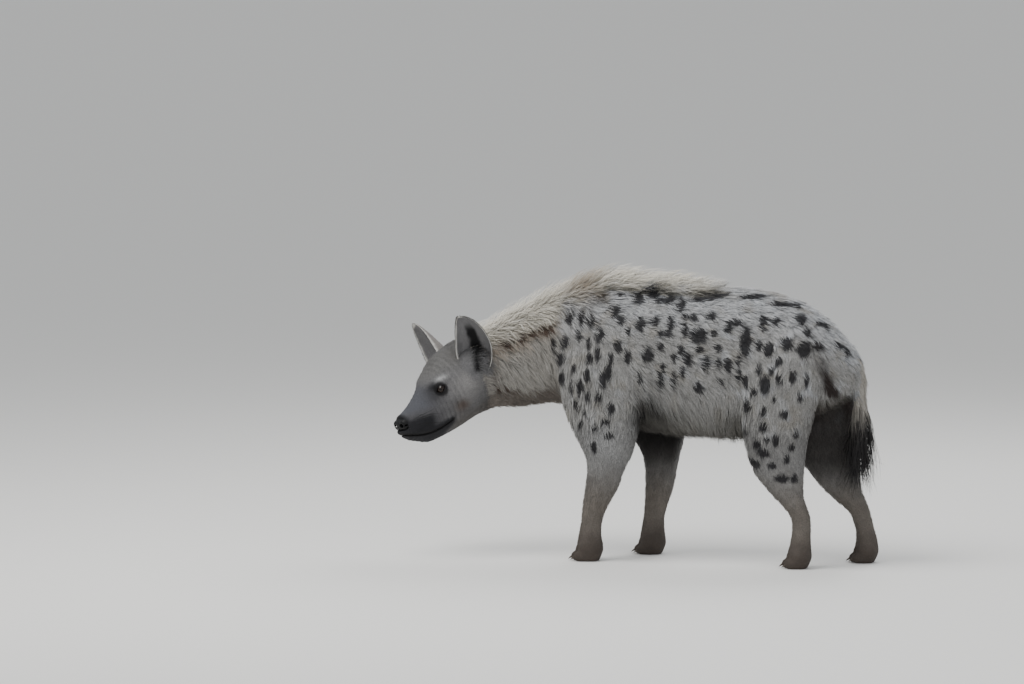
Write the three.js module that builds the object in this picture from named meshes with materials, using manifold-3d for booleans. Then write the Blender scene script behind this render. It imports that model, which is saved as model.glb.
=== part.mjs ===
// A spotted hyena, life size, standing still with its head turned a little to its left.
// Millimetres, +Z up. The nose points to -Y, the animal's left side is +X, and the paws stand on Z = 0.
import * as THREE from "three";
import { mergeVertices } from "three/addons/utils/BufferGeometryUtils.js";
import Module from "manifold-3d";

const wasm = await Module();
wasm.setup();
const { Manifold, Mesh } = wasm;

// Gap kept between neighbouring pieces.
const GAP = 0.3;

// Trunk: heights of back and belly, height of its widest place and half width, at distances from mid-body.
const TRUNK = [
  { y: -400, top: 600, wide: 545, belly: 490, half: 26 },
  { y: -388, top: 640, wide: 550, belly: 460, half: 52 },
  { y: -352, top: 712, wide: 555, belly: 424, half: 86 },
  { y: -295, top: 764, wide: 560, belly: 400, half: 113 },
  { y: -220, top: 783, wide: 562, belly: 386, half: 127 },
  { y: -130, top: 787, wide: 560, belly: 375, half: 137 },
  { y: -40, top: 785, wide: 556, belly: 368, half: 141 },
  { y: 50, top: 785, wide: 556, belly: 369, half: 140 },
  { y: 130, top: 785, wide: 560, belly: 378, half: 135 },
  { y: 210, top: 773, wide: 565, belly: 396, half: 129 },
  { y: 285, top: 748, wide: 565, belly: 418, half: 123 },
  { y: 345, top: 712, wide: 560, belly: 440, half: 112 },
  { y: 395, top: 664, wide: 550, belly: 462, half: 93 },
  { y: 430, top: 618, wide: 540, belly: 482, half: 66 },
  { y: 447, top: 585, wide: 535, belly: 498, half: 40 },
];

// Neck: centre of each section, half heights above and below it, half width, and turn to the left in degrees.
const NECK = [
  { x: 0, y: -232, z: 606, up: 156, down: 148, half: 92, turn: 0, dip: 0 },
  { x: 0, y: -300, z: 606, up: 162, down: 158, half: 101, turn: 0, dip: 6 },
  { x: 0, y: -365, z: 596, up: 158, down: 152, half: 101, turn: 2, dip: 14 },
  { x: 2, y: -430, z: 577, up: 149, down: 139, half: 94, turn: 6, dip: 20 },
  { x: 7, y: -490, z: 558, up: 139, down: 128, half: 89, turn: 11, dip: 20 },
  { x: 16, y: -550, z: 541, up: 127, down: 122, half: 87, turn: 18, dip: 20 },
  { x: 29, y: -606, z: 526, up: 114, down: 111, half: 84, turn: 27, dip: 21 },
  { x: 50, y: -655, z: 512, up: 98, down: 94, half: 76, turn: 38, dip: 22 },
];

// Head: half width and heights at distances behind the nose tip; height 0 is the line of the mouth.
const HEAD_POSE = { nose: [257, -822, 373], turn: 54, dip: 22, roll: 9 };
const HEAD = [
  { back: 4, top: 29, wide: 8, chin: -8, half: 16 },
  { back: 10, top: 34, wide: 8, chin: -25, half: 26 },
  { back: 22, top: 38, wide: 4, chin: -43, half: 35 },
  { back: 44, top: 43, wide: -2, chin: -58, half: 41 },
  { back: 74, top: 55, wide: -4, chin: -75, half: 45 },
  { back: 104, top: 73, wide: -2, chin: -79, half: 49 },
  { back: 130, top: 91, wide: 4, chin: -80, half: 58 },
  { back: 156, top: 108, wide: 12, chin: -80, half: 71 },
  { back: 184, top: 126, wide: 20, chin: -79, half: 83 },
  { back: 214, top: 140, wide: 28, chin: -77, half: 90 },
  { back: 244, top: 145, wide: 34, chin: -72, half: 91 },
  { back: 274, top: 146, wide: 38, chin: -64, half: 85 },
  { back: 304, top: 138, wide: 40, chin: -50, half: 78 },
  { back: 328, top: 118, wide: 40, chin: -26, half: 60 },
];
const EYE = { back: 153, side: 54, height: 54, radius: 14, aside: 50, lift: 6 };
const LID = { thick: 2.8, opening: [13.5, 9.6] };
const MOUTH = { front: -15, corner: [146, -29], sag: -52, gap: 1.1, narrower: 0.93 };
const NOSE = { back: 14, wide: 54, high: 40, deep: 34, height: 14, nostril: 7 };
const EAR = {
  back: 276,
  side: 62,
  height: 52,
  length: 186,
  width: 104,
  thick: 4.5,
  lean: 15,
  splay: 24,
  faces: 42,
};
const EAR_ROOT = { at: [0, -4, 24], radii: [36, 27, 40] };

// Legs: front and rear edges of the left and the right one, their half width, and how far out they stand.
// Each is parted at the heights in JOINTS: elbow and wrist, or knee and hock.
const FORELEG = [
  { z: 680, left: [-318, -208], right: [-303, -193], half: 28, out: 52 },
  { z: 620, left: [-370, -175], right: [-352, -157], half: 50, out: 83 },
  { z: 545, left: [-393, -150], right: [-368, -125], half: 58, out: 100 },
  { z: 465, left: [-384, -142], right: [-336, -98], half: 58, out: 101 },
  { z: 400, left: [-361, -149], right: [-284, -80], half: 56, out: 105 },
  { z: 345, left: [-333, -160], right: [-236, -76], half: 52, out: 105 },
  { z: 300, left: [-312, -176], right: [-206, -84], half: 46, out: 104 },
  { z: 258, left: [-307, -197], right: [-194, -94], half: 41, out: 103 },
  { z: 215, left: [-312, -212], right: [-191, -101], half: 37, out: 102 },
  { z: 172, left: [-319, -236], right: [-192, -112], half: 34, out: 101 },
  { z: 140, left: [-323, -252], right: [-194, -123], half: 32, out: 101 },
  { z: 105, left: [-327, -262], right: [-197, -131], half: 31, out: 100 },
  { z: 70, left: [-334, -263], right: [-203, -131], half: 33, out: 100 },
  { z: 40, left: [-338, -256], right: [-207, -125], half: 36, out: 100 },
  { z: 14, left: [-338, -258], right: [-207, -127], half: 35, out: 100 },
  { z: 0, left: [-334, -264], right: [-203, -133], half: 31, out: 100 },
];
const HINDLEG = [
  { z: 680, left: [225, 315], right: [235, 330], half: 30, out: 48 },
  { z: 620, left: [182, 366], right: [200, 394], half: 51, out: 80 },
  { z: 550, left: [154, 384], right: [187, 430], half: 60, out: 96 },
  { z: 470, left: [144, 366], right: [190, 444], half: 62, out: 94 },
  { z: 385, left: [150, 345], right: [208, 446], half: 55, out: 96 },
  { z: 345, left: [156, 337], right: [226, 446], half: 51, out: 98 },
  { z: 306, left: [166, 332], right: [252, 446], half: 46, out: 98 },
  { z: 262, left: [186, 328], right: [288, 446], half: 41, out: 96 },
  { z: 212, left: [228, 326], right: [332, 450], half: 35, out: 93 },
  { z: 178, left: [262, 334], right: [372, 464], half: 31, out: 91 },
  { z: 145, left: [286, 346], right: [412, 478], half: 28, out: 90 },
  { z: 108, left: [290, 349], right: [428, 487], half: 28, out: 90 },
  { z: 70, left: [285, 349], right: [434, 498], half: 31, out: 90 },
  { z: 40, left: [278, 352], right: [430, 504], half: 34, out: 90 },
  { z: 14, left: [278, 350], right: [430, 502], half: 33, out: 90 },
  { z: 0, left: [283, 344], right: [435, 496], half: 29, out: 90 },
];
const JOINTS = { front: [262, 100], hind: [330, 150] };
const TOE = { length: 50, width: 27, high: 38, middle: 13, inner: 8, outer: 20, spread: 0.56 };
const CLAW = { length: 17, radius: 4.2, height: 12, tilt: 108 };

// Tail: its centre line, from the root down, and its radius.
const TAIL = [
  { y: 408, z: 604, radius: 30 },
  { y: 436, z: 574, radius: 27 },
  { y: 456, z: 530, radius: 23 },
  { y: 463, z: 478, radius: 20 },
  { y: 466, z: 424, radius: 19 },
  { y: 468, z: 370, radius: 18 },
  { y: 468, z: 330, radius: 11 },
];

// Muscle and bone that push the surface out, or in where negative: place, reach and height.
const FLESH = [
  { at: [140, 150, 480], reach: [50, 55, 80], rise: -9 },
  { at: [-140, 165, 480], reach: [50, 55, 80], rise: -9 },
  { at: [128, -90, 560], reach: [50, 40, 90], rise: -5 },
  { at: [-128, -75, 560], reach: [50, 40, 90], rise: -5 },
];
const FACE = [
  { at: [150, 44, 84], reach: [26, 20, 18], rise: 5 },
  { at: [112, 38, 52], reach: [24, 18, 24], rise: -6 },
  { at: [150, 66, 48], reach: [24, 14, 20], rise: -7 },
  { at: [212, 84, 4], reach: [42, 30, 40], rise: 5 },
  { at: [56, 42, -20], reach: [34, 18, 20], rise: 5 },
  { at: [170, 0, 112], reach: [36, 14, 20], rise: -4 },
];

// Hair: where rows of locks stand along a piece and round it, in degrees from its left side, and their sizes.
// The length runs from one end of the stretch to the other, and lift is the share of it that stands out.
const MANE = {
  neck: {
    from: 0.97,
    to: 0.2,
    rows: 11,
    round: [38, 55, 72, 90, 108, 125, 142],
    length: [62, 100],
    width: 34,
    lift: 0.52,
  },
  withers: {
    from: 0.25,
    to: 0.53,
    rows: 8,
    round: [60, 75, 90, 105, 120],
    length: [94, 54],
    width: 33,
    lift: 0.42,
  },
};
const TUFT = {
  from: 0.42,
  to: 0.98,
  rows: 5,
  round: [0, 60, 120, 180, 240, 300],
  length: [74, 96],
  width: 22,
  lift: 0.2,
};
const LOCK = { thick: 7, sink: 12, sway: 14 };

const vec = (x, y, z) => new THREE.Vector3(x, y, z);
const radians = THREE.MathUtils.degToRad;

// Turns a three.js geometry into a solid that manifold-3d can join and cut.
function solid(geometry, matrix) {
  const bare = geometry.index ? geometry.toNonIndexed() : geometry.clone();
  const placed = new THREE.BufferGeometry().setAttribute("position", bare.getAttribute("position"));
  if (matrix) placed.applyMatrix4(matrix);
  const merged = mergeVertices(placed, 1e-4);
  return new Manifold(
    new Mesh({
      numProp: 3,
      vertProperties: merged.attributes.position.array,
      triVerts: new Uint32Array(merged.index.array),
    }),
  );
}

// A solid from points and triangles, turned to face out.
function closed(positions, triangles) {
  const geometry = new THREE.BufferGeometry();
  geometry.setAttribute("position", new THREE.Float32BufferAttribute(positions, 3));
  geometry.setIndex(triangles);
  const body = solid(geometry);
  return body.volume() > 0 ? body : solid(geometry.setIndex(triangles.reverse()));
}

// The two triangles of a square whose corners are given row by row.
const split = (a, b, c, d) => [a, b, c, c, b, d];

// The largest closed surface of a solid, so that a loose scrap or a sealed hollow is dropped.
function largest(body) {
  const pieces = body.decompose();
  return pieces.reduce((best, piece) => (piece.volume() > best.volume() ? piece : best));
}

// A section of a limb: an oval with its own reach to each side, up and down, as a point at each angle.
function sectionPoint(section, angle, grow) {
  const across = Math.cos(angle);
  const along = Math.sin(angle);
  const tall = along > 0 ? section.up : section.down;
  return section.centre
    .clone()
    .addScaledVector(section.side, across * (section.half + grow))
    .addScaledVector(section.rise, along * (tall + grow));
}

// Smooth sections between the measured ones, each as plain numbers and unit directions.
function blendSections(measured, count) {
  const curve = (pick) => new THREE.CatmullRomCurve3(measured.map(pick), false, "catmullrom", 0.5);
  const centres = curve((s) => s.centre);
  const sizes = curve((s) => vec(s.half, s.up, s.down));
  const sides = curve((s) => s.side);
  const rises = curve((s) => s.rise);
  return Array.from({ length: count }, (_, i) => {
    const t = i / (count - 1);
    const size = sizes.getPoint(t);
    return {
      centre: centres.getPoint(t),
      half: size.x,
      up: size.y,
      down: size.z,
      side: sides.getPoint(t).normalize(),
      rise: rises.getPoint(t).normalize(),
    };
  });
}

// Pushes a point out from its section's centre by the muscles near it.
function swell(point, centre, lumps) {
  let rise = 0;
  for (const lump of lumps) {
    const [x, y, z] = lump.at;
    const [a, b, c] = lump.reach;
    const far = ((point.x - x) / a) ** 2 + ((point.y - y) / b) ** 2 + ((point.z - z) / c) ** 2;
    rise += lump.rise * Math.exp(-far);
  }
  return point.addScaledVector(point.clone().sub(centre).normalize(), rise);
}

// Moves a section along the row, away from its neighbour.
function shifted(section, neighbour, distance) {
  const away = section.centre.clone().sub(neighbour.centre).normalize();
  return { ...section, centre: section.centre.clone().addScaledVector(away, distance) };
}

// A closed skin over a row of sections, with flat ends; the grown one stands off equally all round.
function loft(row, sides, { grow = 0, lumps = [] } = {}) {
  const positions = [];
  const triangles = [];
  const first = shifted(row[0], row[1], grow);
  const sections = [first, ...row.slice(1, -1), shifted(row.at(-1), row.at(-2), grow)];
  for (const section of sections)
    for (let k = 0; k < sides; k++) {
      const point = sectionPoint(section, (2 * Math.PI * k) / sides, grow);
      positions.push(...swell(point, section.centre, lumps).toArray());
    }
  const ring = (i, k) => i * sides + (k % sides);
  for (let i = 0; i + 1 < sections.length; i++)
    for (let k = 0; k < sides; k++)
      triangles.push(...split(ring(i, k), ring(i + 1, k), ring(i, k + 1), ring(i + 1, k + 1)));
  const last = sections.length - 1;
  for (let k = 1; k + 1 < sides; k++) {
    triangles.push(ring(0, 0), ring(0, k), ring(0, k + 1));
    triangles.push(ring(last, 0), ring(last, k + 1), ring(last, k));
  }
  return closed(positions, triangles);
}

// Trunk sections stand across the Y axis.
const trunkSections = blendSections(
  TRUNK.map((s) => ({
    centre: vec(0, s.y, s.wide),
    half: s.half,
    up: s.top - s.wide,
    down: s.wide - s.belly,
    side: vec(1, 0, 0),
    rise: vec(0, 0, 1),
  })),
  24,
);

// Direction of a piece that is turned to the left, dips forward and rolls its left side up.
function heading(turn, dip, roll = 0) {
  const yaw = radians(turn);
  const pitch = radians(dip);
  const forward = vec(
    Math.sin(yaw) * Math.cos(pitch),
    -Math.cos(yaw) * Math.cos(pitch),
    -Math.sin(pitch),
  );
  const left = vec(Math.cos(yaw), Math.sin(yaw), 0).applyAxisAngle(forward, radians(roll));
  return { forward, left, up: forward.clone().cross(left) };
}

const neckSections = blendSections(
  NECK.map((s) => {
    const { left, up } = heading(s.turn, s.dip);
    return { centre: vec(s.x, s.y, s.z), half: s.half, up: s.up, down: s.down, side: left, rise: up };
  }),
  13,
);

// The head's own frame: X runs back from the nose tip, Y to the animal's left, Z up from the mouth.
const headFacing = heading(HEAD_POSE.turn, HEAD_POSE.dip, HEAD_POSE.roll);
const headMatrix = new THREE.Matrix4()
  .makeBasis(headFacing.forward.clone().negate(), headFacing.left, headFacing.up)
  .setPosition(...HEAD_POSE.nose);

const toWorld = (body) => body.transform(headMatrix.toArray());

function headSections(count, widthShare = 1) {
  return blendSections(
    HEAD.map((s) => ({
      centre: vec(s.back, 0, s.wide),
      half: s.half * widthShare,
      up: s.top - s.wide,
      down: s.wide - s.chin,
      side: vec(0, 1, 0),
      rise: vec(0, 0, 1),
    })),
    count,
  );
}
const faceLumps = FACE.flatMap((lump) =>
  lump.at[1] === 0 ? [lump] : [lump, { ...lump, at: [lump.at[0], -lump.at[1], lump.at[2]] }],
);

function legSections(table, leg, count) {
  const sign = leg === "left" ? 1 : -1;
  return blendSections(
    table.map((s) => {
      const [front, rear] = s[leg];
      const middle = (front + rear) / 2;
      return {
        centre: vec(sign * s.out, middle, s.z),
        half: s.half,
        up: rear - middle,
        down: middle - front,
        side: vec(1, 0, 0),
        rise: vec(0, 1, 0),
      };
    }),
    count,
  );
}

// The part of a leg between two heights.
function stretch(sections, high, low) {
  return sections.filter((s) => s.centre.z < high && s.centre.z > low);
}
function sectionAt(sections, z) {
  const above = sections.findLast((s) => s.centre.z >= z);
  const below = sections.find((s) => s.centre.z < z);
  if (!below) return above;
  const t = (above.centre.z - z) / (above.centre.z - below.centre.z);
  const mix = (a, b) => a + (b - a) * t;
  return {
    ...above,
    centre: above.centre.clone().lerp(below.centre, t),
    half: mix(above.half, below.half),
    up: mix(above.up, below.up),
    down: mix(above.down, below.down),
  };
}
function legPiece(sections, high, low, sides) {
  const row = [sectionAt(sections, high), ...stretch(sections, high - 4, low + 4), sectionAt(sections, low)];
  return loft(row, sides);
}

// Turns a seeded number from 0 to 1, so that hair varies the same way each time.
let seed = 7;
function random() {
  seed = (seed * 16807) % 2147483647;
  return seed / 2147483647;
}
const vary = (size, share) => size * (1 + share * (2 * random() - 1));

// One flat, tapered lock of hair: it leaves its root, bends over to its lie and ends in a point.
function lock({ root, out, lie, length, width, lift }, grow = 0) {
  const rings = [0, 0.42, 0.78];
  const spread = [0.8, 1, 0.6];
  const section = [[-1, -0.5], [1, -0.5], [0, 1]];
  const across = lie.clone().cross(out).normalize();
  const start = root.clone().addScaledVector(out, -LOCK.sink);
  const place = (t) =>
    start
      .clone()
      .addScaledVector(out, (lift * length + LOCK.sink) * (1 - (1 - t) ** 2))
      .addScaledVector(lie, length * (0.35 * t + 0.65 * t * t));
  const positions = [];
  const triangles = [];
  rings.forEach((t, i) => {
    const here = place(t);
    const ahead = place(t + 0.05).sub(here).normalize();
    const face = ahead.clone().cross(across).normalize();
    for (const [a, b] of section) {
      const sideways = across.clone().multiplyScalar(a * ((width * spread[i]) / 2 + 2 * grow));
      const thick = face.clone().multiplyScalar(b * ((LOCK.thick * spread[i]) / 2 + 2 * grow));
      positions.push(...here.clone().add(sideways).add(thick).toArray());
    }
  });
  positions.push(...place(1).toArray());
  const sides = section.length;
  const tip = rings.length * sides;
  for (let i = 0; i + 1 < rings.length; i++)
    for (let k = 0; k < sides; k++) {
      const a = i * sides + k;
      const b = i * sides + ((k + 1) % sides);
      triangles.push(a, b, a + sides, b, b + sides, a + sides);
    }
  for (let k = 0; k < sides; k++) triangles.push(tip - sides + k, tip - sides + ((k + 1) % sides), tip);
  triangles.push(0, 2, 1);
  return closed(positions, triangles);
}

// A place on a row of sections: how far along, from 0 to 1, and the angle round it from the left side.
function placeOn(sections, along, angle) {
  const at = (t, a) => {
    const f = THREE.MathUtils.clamp(t, 0, 1) * (sections.length - 1);
    const i = Math.min(Math.floor(f), sections.length - 2);
    return sectionPoint(sections[i], a, 0).lerp(sectionPoint(sections[i + 1], a, 0), f - i);
  };
  const point = at(along, angle);
  const ahead = at(along + 0.01, angle).sub(at(along - 0.01, angle));
  const round = at(along, angle + 0.03).sub(at(along, angle - 0.03));
  const out = ahead.clone().cross(round).normalize();
  const f = Math.min(Math.floor(along * (sections.length - 1)), sections.length - 2);
  if (out.dot(point.clone().sub(sections[f].centre)) < 0) out.negate();
  return { point, out, back: ahead.normalize() };
}

// Rows of locks on a piece: each row is half a step off the one before, so that the locks overlap like tiles.
function locks(sections, { from, to, rows, round, length, width, lift }, towards) {
  const made = [];
  for (let row = 0; row < rows; row++) {
    const share = row / (rows - 1);
    round.forEach((angle, k) => {
      const step = ((k % 2) * 0.5 * (to - from)) / (rows - 1);
      const along = THREE.MathUtils.clamp(from + (to - from) * share + step, 0.02, 0.98);
      const { point, out, back } = placeOn(sections, along, radians(vary(angle, 0.02)));
      const sway = radians(LOCK.sway * (2 * random() - 1));
      const lie = back.multiplyScalar(towards).applyAxisAngle(out, sway);
      const long = length[0] + (length[1] - length[0]) * share;
      made.push({
        root: point,
        out,
        lie,
        length: vary(long, 0.14),
        width: vary(width, 0.12),
        lift: vary(lift, 0.2),
      });
    });
  }
  return made;
}

// Trunk, neck and head
const trunkGrown = loft(trunkSections, 24, { grow: GAP, lumps: FLESH });
const trunkLocks = locks(trunkSections, MANE.withers, 1);
const trunk = largest(
  Manifold.union([
    loft(trunkSections, 24, { lumps: FLESH }),
    ...trunkLocks.map((hair) => lock(hair)),
  ]),
);
const trunkLocksGrown = Manifold.union(trunkLocks.map((hair) => lock(hair, GAP)));

const headSides = 22;
const wholeHead = loft(headSections(20), headSides, { lumps: faceLumps });
const wholeHeadGrown = loft(headSections(20), headSides, { grow: GAP, lumps: faceLumps });
const neckCore = loft(neckSections, 22);
const neckCoreGrown = loft(neckSections, 22, { grow: GAP });

// The lower jaw lies below a line that starts under the nose, sags and lifts at the corner of the mouth.
function belowMouth(grow) {
  const [corner, end] = MOUTH.corner;
  const outline = new THREE.Shape();
  outline.moveTo(-20, MOUTH.front + 6 + grow);
  outline.lineTo(4, MOUTH.front + grow);
  outline.quadraticCurveTo(corner * 0.5, MOUTH.sag + grow, corner + grow, end + grow);
  outline.quadraticCurveTo(corner + 30 + grow, end - 20, corner + 34 + grow, -110);
  outline.lineTo(-20, -110);
  const slab = new THREE.ExtrudeGeometry(outline, { depth: 240, bevelEnabled: false, curveSegments: 6 });
  return solid(slab, new THREE.Matrix4().makeRotationX(Math.PI / 2).setPosition(0, 120, 0));
}
const jaw = loft(headSections(20, MOUTH.narrower), headSides, { lumps: faceLumps }).intersect(belowMouth(0));

function ellipsoid(centre, radii, wide = 12, high = 8) {
  const size = new THREE.Matrix4().makeScale(...radii);
  const matrix = new THREE.Matrix4().makeTranslation(...centre).multiply(size);
  return solid(new THREE.SphereGeometry(1, wide, high), matrix);
}

// Eye: a ball in its socket, with lids that leave an almond opening facing out and forward.
function eyeMatrix() {
  const aside = radians(EYE.aside);
  const facing = vec(-Math.cos(aside), Math.sin(aside), Math.sin(radians(EYE.lift))).normalize();
  const along = vec(0, 0, 1).cross(facing).normalize();
  return new THREE.Matrix4()
    .makeBasis(along, facing.clone().cross(along), facing)
    .setPosition(EYE.back, EYE.side, EYE.height);
}
function inHead(body, side) {
  return side > 0 ? body : body.mirror([0, 1, 0]);
}
const eyeBall = solid(new THREE.SphereGeometry(EYE.radius, 12, 8), eyeMatrix());
const eyeSocket = solid(new THREE.SphereGeometry(EYE.radius + GAP, 12, 8), eyeMatrix());
const lids = solid(new THREE.SphereGeometry(EYE.radius + LID.thick, 12, 8), eyeMatrix());
const lidOpening = (() => {
  const [wide, high] = LID.opening;
  const almond = new THREE.Shape();
  almond.moveTo(-wide, 0);
  almond.quadraticCurveTo(0, high * 1.75, wide, 0);
  almond.quadraticCurveTo(0, -high * 1.55, -wide, 0);
  const cutter = new THREE.ExtrudeGeometry(almond, { depth: 40, bevelEnabled: false, curveSegments: 4 });
  return solid(cutter, eyeMatrix());
})();

// Nose pad with its two nostrils
const nosePad = ellipsoid([NOSE.back, 0, NOSE.height], [NOSE.deep / 2, NOSE.wide / 2, NOSE.high / 2], 12, 8);
const nosePadGrown = ellipsoid(
  [NOSE.back, 0, NOSE.height],
  [NOSE.deep / 2 + GAP, NOSE.wide / 2 + GAP, NOSE.high / 2 + GAP],
  12,
  8,
);
const nostril = ellipsoid([2, 15, NOSE.height - 2], [9, NOSE.nostril, NOSE.nostril * 0.8], 8, 6);
const nose = largest(nosePad.subtract(nostril).subtract(nostril.mirror([0, 1, 0])));

// Ear: a cup whose sections are crescents, from its root to its rounded tip.
function ear(grow = 0) {
  const steps = 9;
  const arc = 8;
  const shape = new THREE.CatmullRomCurve3(
    [
      vec(0, 0.52, 0),
      vec(0.18, 0.8, 0),
      vec(0.42, 1, 0),
      vec(0.66, 0.96, 0),
      vec(0.84, 0.7, 0),
      vec(0.95, 0.4, 0),
      vec(1, 0.14, 0),
    ],
    false,
    "catmullrom",
    0.5,
  );
  const positions = [];
  const triangles = [];
  for (let i = 0; i < steps; i++) {
    const { x: along, y: share } = shape.getPoint(i / (steps - 1));
    const half = (EAR.width / 2) * share;
    const bend = radians(108 - 62 * along);
    const radius = half / Math.sin(Math.min(bend, Math.PI / 2));
    const thick = EAR.thick * (1 - 0.45 * along);
    const tall = EAR.length + 2 * grow;
    const lean = -EAR.lean * along * along;
    const hollow = radius * 0.55;
    const end = bend + (2 * grow) / radius;
    for (const [r, from, to] of [[radius + grow, -end, end], [radius - thick - grow, end, -end]])
      for (let k = 0; k < arc; k++) {
        const a = from + ((to - from) * k) / (arc - 1);
        positions.push(r * Math.sin(a), lean - hollow + r * Math.cos(a), tall * along - grow);
      }
  }
  const count = 2 * arc;
  const ring = (i, k) => i * count + (k % count);
  for (let i = 0; i + 1 < steps; i++)
    for (let k = 0; k < count; k++)
      triangles.push(...split(ring(i, k), ring(i + 1, k), ring(i, k + 1), ring(i + 1, k + 1)));
  for (const i of [0, steps - 1])
    for (let k = 0; k + 1 < arc; k++) {
      const quad = [ring(i, k), ring(i, k + 1), ring(i, count - 2 - k), ring(i, count - 1 - k)];
      const [a, b, c, d] = i === 0 ? quad : quad.reverse();
      triangles.push(a, b, c, a, c, d);
    }
  const cup = closed(positions, triangles);
  const root = ellipsoid(EAR_ROOT.at, EAR_ROOT.radii.map((radius) => radius + grow), 10, 6);
  // The cup's back is +Y here; it is turned to open forward and outward, then splayed and leant.
  const matrix = new THREE.Matrix4()
    .makeTranslation(EAR.back, EAR.side, EAR.height)
    .multiply(new THREE.Matrix4().makeRotationX(radians(-EAR.splay)))
    .multiply(new THREE.Matrix4().makeRotationZ(radians(-90 - EAR.faces)));
  return Manifold.union([cup, root]).transform(matrix.toArray());
}
const leftEar = largest(ear().subtract(wholeHeadGrown).subtract(inHead(wholeHeadGrown, -1)));
const leftEarGrown = ear(2 * GAP);

const neck = largest(
  Manifold.union([neckCore, ...locks(neckSections, MANE.neck, -1).map((hair) => lock(hair))])
    .subtract(trunkGrown)
    .subtract(trunkLocksGrown)
    .subtract(toWorld(wholeHeadGrown))
    .subtract(toWorld(leftEarGrown))
    .subtract(toWorld(inHead(leftEarGrown, -1))),
);

const skull = largest(
  Manifold.union([wholeHead, lids, inHead(lids, -1)])
    .subtract(lidOpening)
    .subtract(inHead(lidOpening, -1))
    .subtract(eyeSocket)
    .subtract(inHead(eyeSocket, -1))
    .subtract(belowMouth(MOUTH.gap))
    .subtract(nosePadGrown),
);
const lowerJaw = largest(jaw.subtract(nosePadGrown));

// Tail
function tailSections(grow = 0) {
  return blendSections(
    TAIL.map((s, i) => {
      const before = TAIL[Math.max(i - 1, 0)];
      const after = TAIL[Math.min(i + 1, TAIL.length - 1)];
      const down = vec(0, after.y - before.y, after.z - before.z).normalize();
      return {
        centre: vec(0, s.y, s.z),
        half: s.radius + grow,
        up: s.radius + grow,
        down: s.radius + grow,
        side: vec(1, 0, 0),
        rise: vec(1, 0, 0).cross(down).normalize(),
      };
    }),
    12,
  );
}

const group = new THREE.Group();
const coat = { color: 0x9a9187, roughness: 0.9, metalness: 0 };
const finishes = {
  coat: new THREE.MeshStandardMaterial(coat),
  mane: new THREE.MeshStandardMaterial({ ...coat, color: 0xb9aa90 }),
  face: new THREE.MeshStandardMaterial({ ...coat, color: 0x7d7873 }),
  muzzle: new THREE.MeshStandardMaterial({ ...coat, color: 0x3b3a3d, roughness: 0.7 }),
  leg: new THREE.MeshStandardMaterial({ ...coat, color: 0x77716a }),
  tuft: new THREE.MeshStandardMaterial({ ...coat, color: 0x2a2422 }),
  nose: new THREE.MeshStandardMaterial({ color: 0x17161a, roughness: 0.42, metalness: 0 }),
  eye: new THREE.MeshStandardMaterial({ color: 0x120d0b, roughness: 0.08, metalness: 0 }),
  claw: new THREE.MeshStandardMaterial({ color: 0x2d2823, roughness: 0.5, metalness: 0 }),
};

// Adds a finished solid to the animal as a named mesh.
function add(name, body, finish) {
  const { vertProperties, triVerts, numProp } = body.getMesh();
  const positions = new Float32Array((vertProperties.length / numProp) * 3);
  for (let i = 0; i * numProp < vertProperties.length; i++)
    positions.set(vertProperties.subarray(i * numProp, i * numProp + 3), i * 3);
  const geometry = new THREE.BufferGeometry();
  geometry.setAttribute("position", new THREE.BufferAttribute(positions, 3));
  geometry.setIndex(new THREE.BufferAttribute(triVerts, 1));
  geometry.computeVertexNormals();
  const mesh = new THREE.Mesh(geometry, finishes[finish]);
  mesh.name = name;
  group.add(mesh);
}

add("torso", trunk, "coat");
add("neck", neck, "mane");
add("head", toWorld(skull), "face");
add("lower_jaw", toWorld(lowerJaw), "muzzle");
add("nose", toWorld(nose), "nose");
for (const [name, side] of [["left", 1], ["right", -1]]) {
  add("eye_" + name, toWorld(inHead(eyeBall, side)), "eye");
  add("ear_" + name, toWorld(inHead(leftEar, side)), "face");
}

// Legs: each is cut at its wrist or hock, and its paw carries four toes with their claws.
const underground = solid(
  new THREE.BoxGeometry(2000, 2000, 200),
  new THREE.Matrix4().makeTranslation(0, 0, -100),
);

// The four toes of a paw: the inner two reach further forward than the outer two.
function toes(foot, grow) {
  return [-1.5, -0.5, 0.5, 1.5].map((place) => {
    const y = foot.centre.y - foot.down + (Math.abs(place) > 1 ? TOE.outer : TOE.inner);
    const x = foot.centre.x + place * foot.half * TOE.spread;
    const radii = [TOE.width / 2 + grow, TOE.length / 2 + grow, TOE.high / 2 + grow];
    return { x, y, body: ellipsoid([x, y, TOE.middle], radii, 8, 6) };
  });
}

function paw(sections, top) {
  const palm = legPiece(sections, top, 0, 12);
  const foot = sections.at(-2);
  const grownToes = Manifold.union(toes(foot, GAP).map((toe) => toe.body));
  const claws = toes(foot, 0).map(({ x, y }) => {
    const place = new THREE.Matrix4()
      .makeTranslation(x, y - TOE.length / 2 - 1, CLAW.height)
      .multiply(new THREE.Matrix4().makeRotationX(radians(CLAW.tilt)));
    const cone = new THREE.ConeGeometry(CLAW.radius, CLAW.length, 5, 1);
    return largest(solid(cone, place).subtract(grownToes));
  });
  const body = Manifold.union([palm, ...toes(foot, 0).map((toe) => toe.body)]).subtract(underground);
  return { body, claws };
}

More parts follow.
